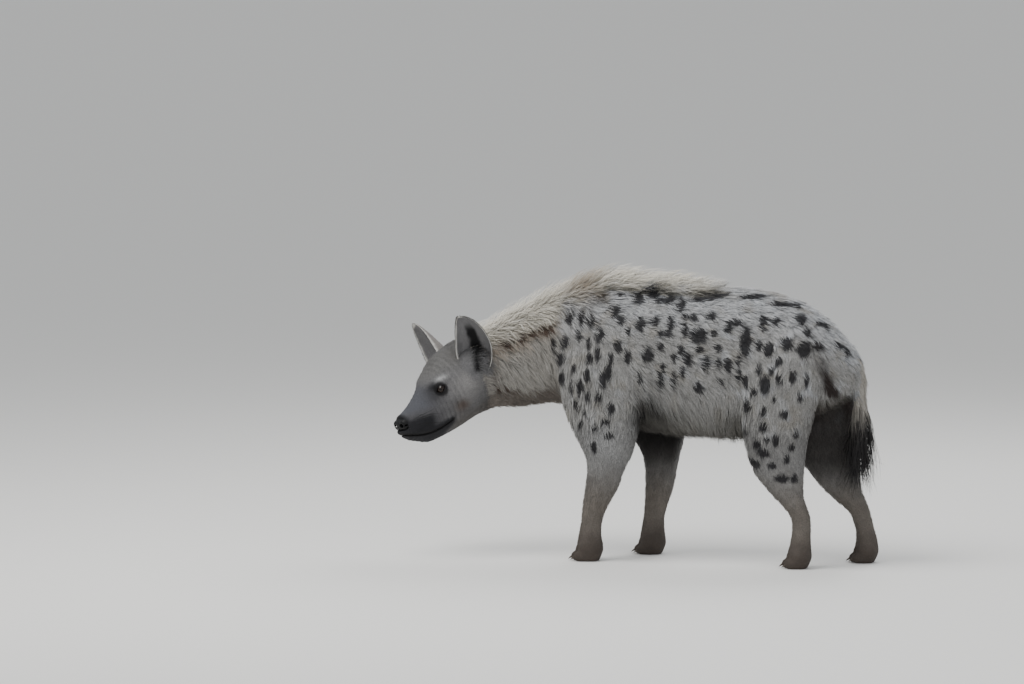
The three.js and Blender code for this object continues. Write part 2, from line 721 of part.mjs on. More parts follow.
for (const [end, table, names] of [
  ["front", FORELEG, ["upper_arm", "forearm", "paw"]],
  ["hind", HINDLEG, ["thigh", "shank", "paw"]],
])
  for (const leg of ["left", "right"]) {
    const sections = legSections(table, leg, 24);
    const [middle, low] = JOINTS[end];
    const upper = largest(legPiece(sections, sections[0].centre.z, middle + GAP, 14).subtract(trunkGrown));
    const lower = legPiece(sections, middle, low + GAP, 12);
    const { body, claws } = paw(sections, low);
    const prefix = `${end}_${leg}_`;
    add(prefix + names[0], upper.subtract(neckCoreGrown), "coat");
    add(prefix + names[1], lower, "leg");
    add(prefix + names[2], body, "leg");
    claws.forEach((claw, i) => add(`${prefix}claw_${i + 1}`, claw, "claw"));
  }

const tailBody = largest(
  Manifold.union([
    loft(tailSections(), 12),
    ...locks(tailSections(), TUFT, 1).map((hair) => lock(hair)),
  ]).subtract(trunkGrown),
);
add("tail", tailBody, "tuft");

// The origin is on the floor under the middle of the whole animal.
const extent = new THREE.Box3().setFromObject(group);
const middle = extent.getCenter(vec(0, 0, 0));
for (const mesh of group.children) mesh.geometry.translate(-middle.x, -middle.y, -extent.min.z);

export default group;
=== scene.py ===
# The looks of a life-size standing spotted hyena: one skin, its coat in tufts, eyes, nose and claws.
# Tables are in millimetres, in the animal's own frame: nose to -Y, its left side +X, paws on Z = 0.
import math

import bmesh
import bpy
import numpy as np
from mathutils import Matrix, Vector, noise
from mathutils.bvhtree import BVHTree
from mathutils.kdtree import KDTree


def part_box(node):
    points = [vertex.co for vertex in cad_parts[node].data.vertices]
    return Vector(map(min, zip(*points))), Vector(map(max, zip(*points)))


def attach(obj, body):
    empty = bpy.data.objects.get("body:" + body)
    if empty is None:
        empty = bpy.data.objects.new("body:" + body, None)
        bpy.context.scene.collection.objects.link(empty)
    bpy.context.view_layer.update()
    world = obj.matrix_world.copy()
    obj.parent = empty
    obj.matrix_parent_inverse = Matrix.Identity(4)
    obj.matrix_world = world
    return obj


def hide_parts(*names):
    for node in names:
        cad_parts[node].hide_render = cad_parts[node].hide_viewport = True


mm = 0.001
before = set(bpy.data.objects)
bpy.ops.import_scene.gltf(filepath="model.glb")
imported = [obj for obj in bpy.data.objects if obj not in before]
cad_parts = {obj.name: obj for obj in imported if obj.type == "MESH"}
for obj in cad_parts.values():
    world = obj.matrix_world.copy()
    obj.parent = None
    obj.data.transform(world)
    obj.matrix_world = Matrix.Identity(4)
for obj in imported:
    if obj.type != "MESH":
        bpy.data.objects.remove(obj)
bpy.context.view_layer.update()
print("frame loaded:", len(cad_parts), "nodes")

# The body's own sizes

# Trunk: distance from mid-body, height of back, of the widest place and of the belly, half width
trunk = {
    "rows": [
        (-400, 600, 545, 490, 26), (-388, 640, 550, 460, 52), (-352, 712, 555, 424, 86),
        (-295, 764, 560, 400, 113), (-220, 783, 562, 386, 127), (-130, 787, 560, 375, 137),
        (-40, 785, 556, 368, 141), (50, 785, 556, 369, 140), (130, 785, 560, 378, 135),
        (210, 773, 565, 396, 129), (285, 748, 565, 418, 123), (345, 712, 560, 440, 112),
        (395, 664, 550, 462, 93), (430, 618, 540, 482, 66), (447, 585, 535, 498, 40),
    ],
    "sections": 44,
}

# Neck: centre, half heights above and below it, half width, turn to the left and dip in degrees
neck = {
    "rows": [
        (0, -232, 606, 156, 148, 92, 0, 0), (0, -300, 606, 162, 158, 101, 0, 6),
        (0, -365, 596, 158, 152, 101, 2, 14), (2, -430, 577, 149, 139, 94, 6, 20),
        (7, -490, 558, 139, 128, 89, 11, 20), (16, -550, 541, 127, 122, 87, 18, 20),
        (29, -606, 526, 114, 111, 84, 27, 21), (50, -655, 512, 98, 94, 76, 38, 22),
    ],
    "sections": 22,
}

# Head: distance behind the nose tip, top, widest height, chin and half width, from the line of the mouth
head = {
    "nose": (257, -822, 373),
    "turn": 54,
    "dip": 22,
    "roll": 9,
    "rows": [
        (4, 29, 8, -8, 16), (10, 34, 8, -25, 26), (22, 38, 4, -43, 35), (44, 43, -2, -58, 41),
        (74, 55, -4, -75, 45), (104, 73, -2, -79, 49), (130, 91, 4, -80, 58),
        (156, 108, 12, -80, 71), (184, 126, 20, -79, 83), (214, 140, 28, -77, 90),
        (244, 145, 34, -72, 91), (274, 146, 38, -64, 85), (304, 138, 40, -50, 78),
        (328, 118, 40, -26, 60),
    ],
    "sections": 30,
    # place, reach and height of each swelling, on both sides
    "swells": [
        ((150, 44, 84), (26, 20, 18), 5), ((112, 38, 52), (24, 18, 24), -6),
        ((150, 66, 48), (24, 14, 20), -7), ((212, 84, 4), (42, 30, 40), 5),
        ((56, 42, -20), (34, 18, 20), 5), ((170, 0, 112), (36, 14, 20), -4),
    ],
}
eye = {"place": (153, 54, 54), "radius": 14, "aside": 50, "lift": 6, "lid": 3.4, "open": (14.5, 8.6)}
mouth = {"front": -15, "corner": (150, -40), "sag": -62, "deep": 4.2, "wide": 1.7}
noseSize = {
    "place": (29, 0, 9), "half": (27, 31, 20), "grid": 1.3, "low": (-10, -40, -16), "high": (54, 40, 42),
}
ear = {
    "place": (290, 62, 52), "length": 186, "width": 104, "thick": 4.6, "lean": 15,
    "splay": {1: 24, -1: 36}, "faces": {1: 42, -1: 4}, "slot": (-0.12, 0.3), "root": (0, -4, 24),
    "rootHalf": (34, 25, 38), "rows": 34, "columns": 30,
    # how wide the cup is at each share of its length
    "outline": [
        (0, 0.56), (0.16, 0.84), (0.32, 0.99), (0.48, 1), (0.68, 0.85), (0.82, 0.66), (0.92, 0.44),
        (0.975, 0.24), (1, 0.05),
    ],
}

# Legs: height, front and rear edge of the left and the right one, half width, distance from the middle
foreleg = [
    (680, -318, -208, -303, -193, 28, 52), (620, -370, -175, -352, -157, 50, 83),
    (545, -393, -150, -368, -125, 58, 100), (465, -384, -142, -336, -98, 58, 101),
    (400, -361, -149, -284, -80, 56, 105), (345, -333, -160, -236, -76, 52, 105),
    (300, -312, -176, -206, -84, 46, 104), (258, -307, -197, -194, -94, 41, 103),
    (215, -312, -212, -191, -101, 37, 102), (172, -319, -236, -192, -112, 34, 101),
    (140, -323, -252, -194, -123, 32, 101), (105, -327, -262, -197, -131, 31, 100),
    (70, -334, -263, -203, -131, 33, 100), (40, -338, -256, -207, -125, 36, 100),
    (14, -338, -258, -207, -127, 35, 100), (0, -334, -264, -203, -133, 31, 100),
]
hindleg = [
    (680, 225, 315, 235, 330, 30, 48), (620, 182, 366, 200, 394, 51, 80),
    (550, 154, 384, 187, 430, 60, 96), (470, 144, 366, 190, 444, 62, 94),
    (385, 150, 345, 208, 446, 55, 96), (345, 156, 337, 226, 446, 51, 98),
    (306, 166, 332, 252, 446, 46, 98), (262, 186, 328, 288, 446, 41, 96),
    (212, 228, 326, 332, 450, 35, 93), (178, 262, 334, 372, 464, 31, 91),
    (145, 286, 346, 412, 478, 28, 90), (108, 290, 349, 428, 487, 28, 90),
    (70, 285, 349, 434, 498, 31, 90), (40, 278, 352, 430, 504, 34, 90),
    (14, 278, 350, 430, 502, 33, 90), (0, 283, 344, 435, 496, 29, 90),
]
legSections = 34
toe = {
    "spread": 0.56, "back": 12, "cut": 34,
    "tip": ((7, 14), (11.4, 20, 15)), "knuckle": ((25, 33), (12.4, 25, 22)),
}

# Tail: its centre line from the root down, and its radius
tail = {
    "rows": [
        (408, 604, 30), (436, 574, 27), (456, 530, 23), (463, 478, 20),
        (466, 424, 19), (468, 370, 18), (468, 330, 11),
    ],
    "sections": 20,
}

# Flesh that pushes the body's surface out, or in where negative: place, reach and height
flesh = [
    ((140, 150, 480), (50, 55, 80), -9), ((-140, 165, 480), (50, 55, 80), -9),
    ((128, -90, 560), (50, 40, 90), -5), ((-128, -75, 560), (50, 40, 90), -5),
]


# The rows between the measured ones, on a smooth curve
def smoothRows(rows, count):
    rows = np.array(rows, float)
    padded = np.vstack([2 * rows[0] - rows[1], rows, 2 * rows[-1] - rows[-2]])
    place = np.linspace(0, len(rows) - 1, count)
    first = np.minimum(place.astype(int), len(rows) - 2)
    t = (place - first)[:, None]
    a, b, c, d = (padded[first + k] for k in range(4))
    return 0.5 * (2 * b + (c - a) * t + (2 * a - 5 * b + 4 * c - d) * t**2 + (3 * b - a - 3 * c + d) * t**3)


def unit(vectors, small=0.0):
    return vectors / (np.linalg.norm(vectors, axis=-1, keepdims=True) + small)


def heading(turn, dip, roll=0.0):
    yaw, pitch, lean = np.radians([turn, dip, roll])
    forward = np.array([
        math.sin(yaw) * math.cos(pitch), -math.cos(yaw) * math.cos(pitch), -math.sin(pitch),
    ])
    left = np.array([math.cos(yaw), math.sin(yaw), 0])
    left = left * math.cos(lean) + np.cross(forward, left) * math.sin(lean)
    return forward, left, np.cross(forward, left)


# A section is its centre, half width, reach up and down, and the directions of its side and its rise
def trunkTube():
    rows = [
        (0, y, wide, half, top - wide, wide - belly, 1, 0, 0, 0, 0, 1)
        for y, top, wide, belly, half in trunk["rows"]
    ]
    return smoothRows(rows, trunk["sections"])


def neckTube():
    rows = []
    for x, y, z, up, down, half, turn, dip in neck["rows"]:
        _, left, rise = heading(turn, dip)
        rows.append((x, y, z, half, up, down, *left, *rise))
    return smoothRows(rows, neck["sections"])


headForward, headLeft, headUp = heading(head["turn"], head["dip"], head["roll"])
headAxes = np.array([-headForward, headLeft, headUp])
noseTip = np.array(head["nose"]) * mm


def fromHead(points):
    return noseTip + np.asarray(points, float) @ headAxes


def toHead(points):
    return (points - noseTip) @ headAxes.T


# Places in the head's frame, in millimetres, with the right side folded onto the left
def onHeadSide(points):
    local = toHead(points) / mm
    local[:, 1] = abs(local[:, 1])
    return local


def headTube():
    rows = []
    for back, top, wide, chin, half in head["rows"]:
        centre = fromHead(np.array([back, 0, wide]) * mm) / mm
        rows.append((*centre, half, top - wide, wide - chin, *headLeft, *headUp))
    return smoothRows(rows, head["sections"])


def legTube(table, side):
    sign = 1 if side == "left" else -1
    rows = []
    for z, leftFront, leftRear, rightFront, rightRear, half, out in table:
        front, rear = (leftFront, leftRear) if side == "left" else (rightFront, rightRear)
        middle = (front + rear) / 2
        rows.append((sign * out, middle, z, half, rear - middle, middle - front, 1, 0, 0, 0, 1, 0))
    return smoothRows(rows, legSections)


def tailTube():
    rows = []
    table = np.array(tail["rows"], float)
    for i, (y, z, radius) in enumerate(table):
        before, after = table[max(i - 1, 0)], table[min(i + 1, len(table) - 1)]
        down = np.array([0, after[0] - before[0], after[1] - before[1]])
        rise = np.cross([1, 0, 0], unit(down))
        rows.append((0, y, z, radius, radius, radius, 1, 0, 0, *rise))
    return smoothRows(rows, tail["sections"])


# Each part of the body: its sections in metres, and which way its hair lies along them
parts = {
    "trunk": (trunkTube(), 1), "neck": (neckTube(), -1), "head": (headTube(), 1), "tail": (tailTube(), 1),
    "foreLeft": (legTube(foreleg, "left"), 1), "foreRight": (legTube(foreleg, "right"), 1),
    "hindLeft": (legTube(hindleg, "left"), 1), "hindRight": (legTube(hindleg, "right"), 1),
}
partNames = list(parts)
legNames = ["foreLeft", "foreRight", "hindLeft", "hindRight"]
tubes = {}
for partName, (rows, lie) in parts.items():
    rows[:, :6] *= mm
    for first in (6, 9):
        rows[:, first:first + 3] = unit(rows[:, first:first + 3])
    tubes[partName] = rows
farAway = 0.09


def bodyFields(points):
    return {name: tubeField(points, rows) for name, rows in tubes.items()}


# Distance of points from a tube's surface, how far along it they lie (0 to 1) and the angle round it
def tubeField(points, rows):
    best = np.full(len(points), farAway)
    along = np.zeros(len(points))
    angle = np.zeros(len(points))
    widest = rows[:, 3:6].max() + farAway
    inside = ((points > rows[:, :3].min(0) - widest) & (points < rows[:, :3].max(0) + widest)).all(1)
    subset = np.flatnonzero(inside)
    local = points[subset]
    for i in range(len(rows) - 1):
        a, b = rows[i], rows[i + 1]
        margin = max(a[3:6].max(), b[3:6].max()) + farAway
        low = np.minimum(a[:3], b[:3]) - margin
        high = np.maximum(a[:3], b[:3]) + margin
        near = np.flatnonzero(
            (local[:, 1] > low[1]) & (local[:, 1] < high[1]) & (local[:, 2] > low[2])
            & (local[:, 2] < high[2]) & (local[:, 0] > low[0]) & (local[:, 0] < high[0])
        )
        if not len(near):
            continue
        axis = b[:3] - a[:3]
        normal = np.cross(a[9:12], a[6:9]) + np.cross(b[9:12], b[6:9])
        normal *= np.sign(normal @ axis) / np.linalg.norm(normal)
        offset = local[near] - a[:3]
        share = np.clip(offset @ normal / (axis @ normal), 0, 1)
        row = a + (b - a) * share[:, None]
        offset = local[near] - row[:, :3]
        across = (offset * row[:, 6:9]).sum(1)
        rise = (offset * row[:, 9:12]).sum(1)
        ahead = offset @ normal
        half = row[:, 3]
        tall = np.where(rise > 0, row[:, 4], row[:, 5])
        cap = 0.5 * np.minimum(half, tall)
        qa, qb, qc = across / half, rise / tall, ahead / cap
        q = np.sqrt(qa**2 + qb**2 + qc**2) + 1e-9
        slope = np.sqrt((qa / half) ** 2 + (qb / tall) ** 2 + (qc / cap) ** 2) + 1e-9
        distance = (q - 1) * q / slope
        target = subset[near]
        better = distance < best[target]
        chosen = target[better]
        best[chosen] = distance[better]
        along[chosen] = (i + share[better]) / (len(rows) - 1)
        angle[chosen] = np.arctan2(qb[better], qa[better])
    return best, along, angle


def smoothMin(a, b, width):
    share = np.clip(0.5 + 0.5 * (b - a) / width, 0, 1)
    return b + (a - b) * share - width * share * (1 - share)


def smoothMax(a, b, width):
    return -smoothMin(-a, -b, width)


def smoothStep(low, high, value):
    t = np.clip((value - low) / (high - low), 0, 1)
    return t * t * (3 - 2 * t)


def bump(x, y, z, place, reach):
    return np.exp(
        -(((x - place[0]) / reach[0]) ** 2 + ((y - place[1]) / reach[1]) ** 2 + ((z - place[2]) / reach[2]) ** 2)
    )


def ellipsoidField(x, y, z, half):
    q = np.sqrt((x / half[0]) ** 2 + (y / half[1]) ** 2 + (z / half[2]) ** 2) + 1e-9
    slope = np.sqrt((x / half[0] ** 2) ** 2 + (y / half[1] ** 2) ** 2 + (z / half[2] ** 2) ** 2) + 1e-9
    return (q - 1) * q / slope


# The eye's own frame in the head's, for the left eye: towards the nose, up, and out of the head
aside, lift = math.radians(eye["aside"]), math.radians(eye["lift"])
eyeFacing = unit(np.array([-math.cos(aside), math.sin(aside), math.sin(lift)]))
eyeAlong = unit(np.cross([0, 0, 1], eyeFacing))
eyeAxes = np.array([eyeAlong, np.cross(eyeFacing, eyeAlong), eyeFacing])

# The ear's own frame in the head's, for the left ear: across the cup, its back, and up to its tip
def earTurn(sign):
    turnZ, turnX = math.radians(-90 - ear["faces"][sign]), math.radians(-ear["splay"][sign])
    rotateZ = np.array([
        [math.cos(turnZ), -math.sin(turnZ), 0], [math.sin(turnZ), math.cos(turnZ), 0], [0, 0, 1],
    ])
    rotateX = np.array([
        [1, 0, 0], [0, math.cos(turnX), -math.sin(turnX)], [0, math.sin(turnX), math.cos(turnX)],
    ])
    return rotateX @ rotateZ


earTurns = {sign: earTurn(sign) for sign in (1, -1)}


# The line of the mouth, as a height at each distance behind the nose
def mouthHeight(back):
    end, height = mouth["corner"]
    t = np.clip(back / end, -0.1, 1.0)
    return (1 - t) ** 2 * mouth["front"] + 2 * t * (1 - t) * mouth["sag"] + t**2 * height


# The face's own forms: swellings, lids round the eyes, the line of the mouth and the roots of the ears
def shapeFace(points, field):
    local = toHead(points) / mm
    near = np.flatnonzero(
        (local[:, 0] > -40) & (local[:, 0] < 370) & (abs(local[:, 1]) < 150) & (abs(local[:, 2]) < 200)
    )
    if not len(near):
        return field
    x, y, z = local[near].T
    side = abs(y)
    d = field[near] / mm
    for place, reach, rise in head["swells"]:
        d = d - rise * bump(x, side, z, place, reach)
    rootPoint = (np.stack([x, side, z], 1) - ear["place"]) @ earTurns[1] - ear["root"]
    d = smoothMin(d, ellipsoidField(*rootPoint.T, ear["rootHalf"]), 22)
    a, b, c = ((np.stack([x, side, z], 1) - eye["place"]) @ eyeAxes.T).T
    ball = np.sqrt(a**2 + b**2 + c**2)
    d = smoothMin(d, ball - eye["radius"] - eye["lid"], 10)
    # the opening between the lids: its inner corner is lower and drawn out towards the nose
    wide, high = eye["open"]
    t = np.clip((a + 0.5) / (wide + 0.5), -1, 1)
    drop = -0.16 * a
    upper = high * (1 - abs(t) ** 2.0) * 0.98 + drop
    lower = -high * (1 - abs(t) ** 2.4) * 0.78 + drop
    opening = np.maximum(np.maximum(b - upper, lower - b) * 0.9, abs(a) - wide)
    pit = np.maximum(np.maximum(opening, -c), (eye["radius"] - 1.2) - ball)
    d = smoothMax(d, -pit, 1.2)
    # folds of the lids, above and below
    rim = np.where(c > 0, 1.0, 0.0)
    d = d + 1.1 * rim * np.exp(-((opening - 4.6) / 1.1) ** 2) * smoothStep(-6, 2, b)
    d = d + 0.7 * rim * np.exp(-((opening - 4.0) / 1.2) ** 2) * smoothStep(3, -5, b)
    # mouth: a groove with a rounded lip above and below it
    gap = z - mouthHeight(x)
    fade = smoothStep(mouth["corner"][0] + 5, mouth["corner"][0] - 8, x)
    d = d + fade * mouth["deep"] * np.exp(-((gap / mouth["wide"]) ** 2))
    d = d - fade * 2.0 * np.exp(-(((gap - 6) / 5) ** 2)) - fade * 1.2 * np.exp(-(((gap + 5) / 4) ** 2))
    # the flesh ends inside the nose, which is a piece of its own, and the lip is split under it
    d = smoothMax(d, 20 - x - 42 * smoothStep(-3, -12, z), 3)
    d = d + 1.6 * np.exp(-((y / 1.5) ** 2)) * smoothStep(30, 10, x) * smoothStep(12, 4, z) * (gap > 0)
    result = field.copy()
    result[near] = d * mm
    return result


# Four arched toes on each paw, the inner two further forward, and a heel that curves up behind
def shapePaws(points, field):
    low = np.flatnonzero(points[:, 2] < 0.1)
    if not len(low):
        return field
    result = field.copy()
    d = field[low]
    z = points[low][:, 2]
    for legName in legNames:
        foot = tubes[legName][-3]
        x, y = points[low][:, 0] - foot[0], points[low][:, 1]
        front, rear = foot[1] - foot[5], foot[1] + foot[4]
        near = (abs(x) < 0.08) & (y > front - 0.06) & (y < rear + 0.06)
        cut = front + toe["cut"] * mm * smoothStep(0.06, 0.026, z) - y
        heel = y - rear + 0.5 * np.maximum(0.03 - z, 0)
        shaped = smoothMax(smoothMax(d, cut, 0.012), heel, 0.012)
        toes = np.full(len(low), farAway)
        for place in (-1.5, -0.5, 0.5, 1.5):
            back = toe["back"] if abs(place) > 1 else 0
            one = np.full(len(low), farAway)
            for (behind, high), half in (toe["tip"], toe["knuckle"]):
                middle = place * foot[3] * toe["spread"] * (0.9 if high > 20 else 1)
                offset = (x - middle, y - front - (behind + back) * mm, z - high * mm)
                one = smoothMin(one, ellipsoidField(*offset, np.array(half) * mm), 0.008)
            toes = smoothMin(toes, one, 0.0025)
        d = np.where(near, smoothMin(shaped, toes, 0.014), d)
    result[low] = smoothMax(d, 0.0005 - z, 0.002)
    return result


# How thick the coat lies over the skin, at each point
coatDepth = {"trunk": 8.5, "neck": 9, "head": 2.4, "tail": 6, "upperLeg": 7, "lowerLeg": 3.2, "paw": 1.8}


# How softly the parts run into each other, in metres
joinWidth = {"neck": 0.07, "leg": 0.024, "tail": 0.03, "head": 0.06, "depth": 0.018, "lie": 0.014}


def skinField(points, details=True):
    fields = bodyFields(points)
    distance = np.stack([fields[name][0] for name in partNames])
    weight = np.exp(-(distance - distance.min(0)) / joinWidth["depth"])
    weight /= weight.sum(0)
    z = points[:, 2]
    leg = coatDepth["paw"] + (coatDepth["lowerLeg"] - coatDepth["paw"]) * smoothStep(0.03, 0.12, z)
    leg = leg + (coatDepth["upperLeg"] - coatDepth["lowerLeg"]) * smoothStep(0.22, 0.45, z)
    depth = np.zeros(len(points))
    for i, name in enumerate(partNames):
        depth += weight[i] * (leg if name not in coatDepth else coatDepth[name])
    body = smoothMin(fields["trunk"][0], fields["neck"][0], joinWidth["neck"])
    for place, reach, rise in flesh:
        body = body - rise * mm * bump(*(points / mm).T, place, reach)
    for name in (*legNames, "tail", "head"):
        body = smoothMin(body, fields[name][0], joinWidth["leg" if name in legNames else name])
    body = body + depth * mm
    if details:
        body = shapeFace(points, body)
    return shapePaws(points, body)


# A closed surface round where the field is below zero, in cells of one size
def netSurface(field, low, step):
    inside = field < 0
    count = np.zeros(tuple(n - 1 for n in field.shape), np.int8)
    corners = [(i, j, k) for i in (0, 1) for j in (0, 1) for k in (0, 1)]

    def part(values, i, j, k):
        nx, ny, nz = values.shape
        return values[i:nx - 1 + i, j:ny - 1 + j, k:nz - 1 + k]

    for corner in corners:
        count += part(inside, *corner)
    active = (count > 0) & (count < 8)
    cells = np.argwhere(active)
    index = np.full(active.shape, -1, np.int64)
    index[active] = np.arange(len(cells))
    total = np.zeros((len(cells), 3))
    crossings = np.zeros(len(cells))
    values = {corner: part(field, *corner)[active] for corner in corners}
    for corner in corners:
        for axis in range(3):
            if corner[axis]:
                continue
            other = tuple(1 if n == axis else corner[n] for n in range(3))
            a, b = values[corner], values[other]
            cross = (a < 0) != (b < 0)
            t = a[cross] / (a[cross] - b[cross])
            point = np.tile(np.array(corner, float), (cross.sum(), 1))
            point[:, axis] += t
            total[cross] += point
            crossings[cross] += 1
    vertices = low + (cells + total / crossings[:, None]) * step
    quads = []
    for axis in range(3):
        a = [slice(1, -1)] * 3
        a[axis] = slice(0, -1)
        b = list(a)
        b[axis] = slice(1, None)
        first, second = inside[tuple(a)], inside[tuple(b)]
        for wanted, flip in ((first & ~second, False), (~first & second, True)):
            at = np.argwhere(wanted)
            for n in range(3):
                if n != axis:
                    at[:, n] += 1
            u, v = [n for n in range(3) if n != axis]
            around = []
            for du, dv in ((0, 0), (1, 0), (1, 1), (0, 1)):
                cell = at.copy()
                cell[:, u] -= du
                cell[:, v] -= dv
                around.append(index[tuple(cell.T)])
            quad = np.stack(around, 1)
            turned = flip if axis != 1 else not flip
            quads.append(quad[:, ::-1] if turned else quad)
    return vertices, np.vstack(quads)


# Moves points onto the surface of a field
def settle(points, field, steps=3, most=0.004, small=0.0004):
    points = points.copy()
    for _ in range(steps):
        here = field(points)
        slope = np.stack(
            [(field(points + np.eye(3)[axis] * small) - here) / small for axis in range(3)], 1
        )
        size = np.maximum((slope**2).sum(1), 0.2)
        move = -(here / size)[:, None] * slope
        length = np.linalg.norm(move, axis=1)
        move *= np.minimum(1, most / np.maximum(length, 1e-9))[:, None]
        points += move * 0.9
    return points


# Splits the edges of a mesh inside a zone in two, and settles the new points on the field
def refine(work, zone, field):
    points = np.array([v.co for v in work.verts])
    chosen = zone(points)
    edges = [e for e in work.edges if chosen[e.verts[0].index] and chosen[e.verts[1].index]]
    bmesh.ops.subdivide_edges(work, edges=edges, cuts=1, use_grid_fill=True)
    work.verts.index_update()
    work.verts.ensure_lookup_table()
    points = np.array([v.co for v in work.verts])
    chosen = np.flatnonzero(zone(points))
    settled = settle(points[chosen], field)
    for number, point in zip(chosen, settled):
        work.verts[number].co = point


def gridPoints(low, high, step):
    axes = [np.arange(low[n], high[n], step) for n in range(3)]
    points = np.stack(np.meshgrid(*axes, indexing="ij"), -1).reshape(-1, 3)
    return points, [len(axis) for axis in axes]


skinGrid = {"step": 9, "low": (-230, -850, -24), "high": (330, 520, 830)}


def nearFace(points):
    local = toHead(points) / mm
    return (local[:, 0] < 345) & (local[:, 0] > -60) & (abs(local[:, 1]) < 140) & (local[:, 2] > -110)


def onMuzzle(points):
    local = toHead(points) / mm
    return nearFace(points) & (local[:, 0] < 200)


def onDetail(points):
    side = onHeadSide(points)
    nearEye = np.linalg.norm(side - eye["place"], axis=1) < 25
    nearMouth = (abs(side[:, 2] - mouthHeight(side[:, 0])) < 6) & (side[:, 0] < 160) & nearFace(points)
    return nearEye | nearMouth


def onHeadOrPaws(points):
    return nearFace(points) | (points[:, 2] < 0.085)


def onToes(points):
    found = np.full(len(points), False)
    for legName in legNames:
        foot = tubes[legName][-3]
        found |= (abs(points[:, 0] - foot[0]) < 0.06) & (abs(points[:, 1] - foot[1] + foot[5]) < 0.045)
    return found & (points[:, 2] < 0.055) & (points[:, 2] > 0.002)


def makeSkin():
    low, high = np.array(skinGrid["low"]) * mm, np.array(skinGrid["high"]) * mm
    step = skinGrid["step"] * mm
    points, shape = gridPoints(low, high, step)
    field = skinField(points, details=False).reshape(shape)
    vertices, quads = netSurface(field, low, step)
    vertices = settle(vertices, lambda p: skinField(p, details=False), steps=2)
    mesh = bpy.data.meshes.new("skin")
    mesh.from_pydata(vertices.tolist(), [], quads.tolist())
    work = bmesh.new()
    work.from_mesh(mesh)
    for zone in (onHeadOrPaws, onToes, onMuzzle, onDetail):
        refine(work, zone, skinField)
    bmesh.ops.triangulate(work, faces=work.faces[:])
    bmesh.ops.recalc_face_normals(work, faces=work.faces[:])
    work.to_mesh(mesh)
    work.free()
    return mesh


# The cup of an ear, as places on its outer or inner side: along it (0 to 1) and round it (-1 to 1)
def earPlaces(along, round, inner, sign, push=0.0):
    shares = smoothRows(ear["outline"], 60)
    share = np.interp(along, shares[:, 0], shares[:, 1])
    bend = np.radians(108 - 62 * along)
    radius = ear["width"] / 2 * share / np.sin(np.minimum(bend, math.pi / 2))
    thick = ear["thick"] * (1 - 0.45 * along) * (1 - 0.55 * abs(round) ** 3)
    hollow = radius * 0.55
    r = np.where(inner, radius - thick, radius) + push
    # the inner side carries two long folds
    r = r - np.where(inner, 3.2 * np.exp(-(((round - 0.42) / 0.16) ** 2)) * smoothStep(0.9, 0.3, along), 0)
    r = r - np.where(inner, 2.6 * np.exp(-(((round + 0.3) / 0.14) ** 2)) * smoothStep(0.75, 0.2, along), 0)
    angle = bend * round
    lean = -ear["lean"] * along**2
    # the front edge is straight, so the tip lies over it
    forward = 0.6 * (1 - share) * ear["width"] / 2 * smoothStep(0.35, 0.7, along)
    local = np.stack([forward + r * np.sin(angle), lean - hollow + r * np.cos(angle), ear["length"] * along], -1)
    local = local @ earTurns[sign].T + np.array(ear["place"])
    local[..., 1] *= sign
    return fromHead(local * mm)


def makeEar(sign):
    rows, columns = ear["rows"], ear["columns"]
    along = np.linspace(-0.02, 1, rows)[:, None] * np.ones(columns)
    along = 1 - (1 - along) ** 1.35
    round = np.ones((rows, 1)) * np.linspace(-1, 1, columns)
    outer = earPlaces(along, round, np.full(along.shape, False), sign)
    inner = earPlaces(along, round, np.full(along.shape, True), sign)
    ring = np.concatenate([outer, inner[:, ::-1]], 1)
    count = 2 * columns
    work = bmesh.new()
    verts = [[work.verts.new(point) for point in row] for row in ring]
    for i in range(rows - 1):
        for k in range(count):
            n = (k + 1) % count
            work.faces.new((verts[i][k], verts[i][n], verts[i + 1][n], verts[i + 1][k]))
    for row in (verts[0], verts[-1]):
        for k in range(columns - 1):
            work.faces.new((row[k], row[k + 1], row[count - 2 - k], row[count - 1 - k]))
    bmesh.ops.recalc_face_normals(work, faces=work.faces[:])
    bmesh.ops.triangulate(work, faces=work.faces[:])
    mesh = bpy.data.meshes.new("ear")
    work.to_mesh(mesh)
    work.free()
    inner = np.concatenate([np.zeros(along.shape), np.ones(along.shape)], 1)
    return mesh, np.tile(along, 2).ravel(), np.concatenate([round, round[:, ::-1]], 1).ravel(), inner.ravel()


skinMesh = makeSkin()
print("skin:", len(skinMesh.vertices), "points,", len(skinMesh.polygons), "faces")


# For each point, the number of the nearest of some others
def nearestOf(others, points):
    tree = KDTree(len(others))
    for number, point in enumerate(others):
        tree.insert(point, number)
    tree.balance()
    return np.array([tree.find(point)[1] for point in points])


# The skin as plain arrays, for the roots of the hair
def meshArrays(mesh):
    points = np.zeros(len(mesh.vertices) * 3)
    mesh.vertices.foreach_get("co", points)
    normals = np.zeros(len(mesh.vertices) * 3)
    mesh.vertices.foreach_get("normal", normals)
    faces = np.zeros(len(mesh.polygons) * 3, int)
    mesh.polygons.foreach_get("vertices", faces)
    return points.reshape(-1, 3), normals.reshape(-1, 3), faces.reshape(-1, 3)


skinPoints, skinNormals, skinFaces = meshArrays(skinMesh)
skinTree = BVHTree.FromPolygons(skinPoints.tolist(), skinFaces.tolist())

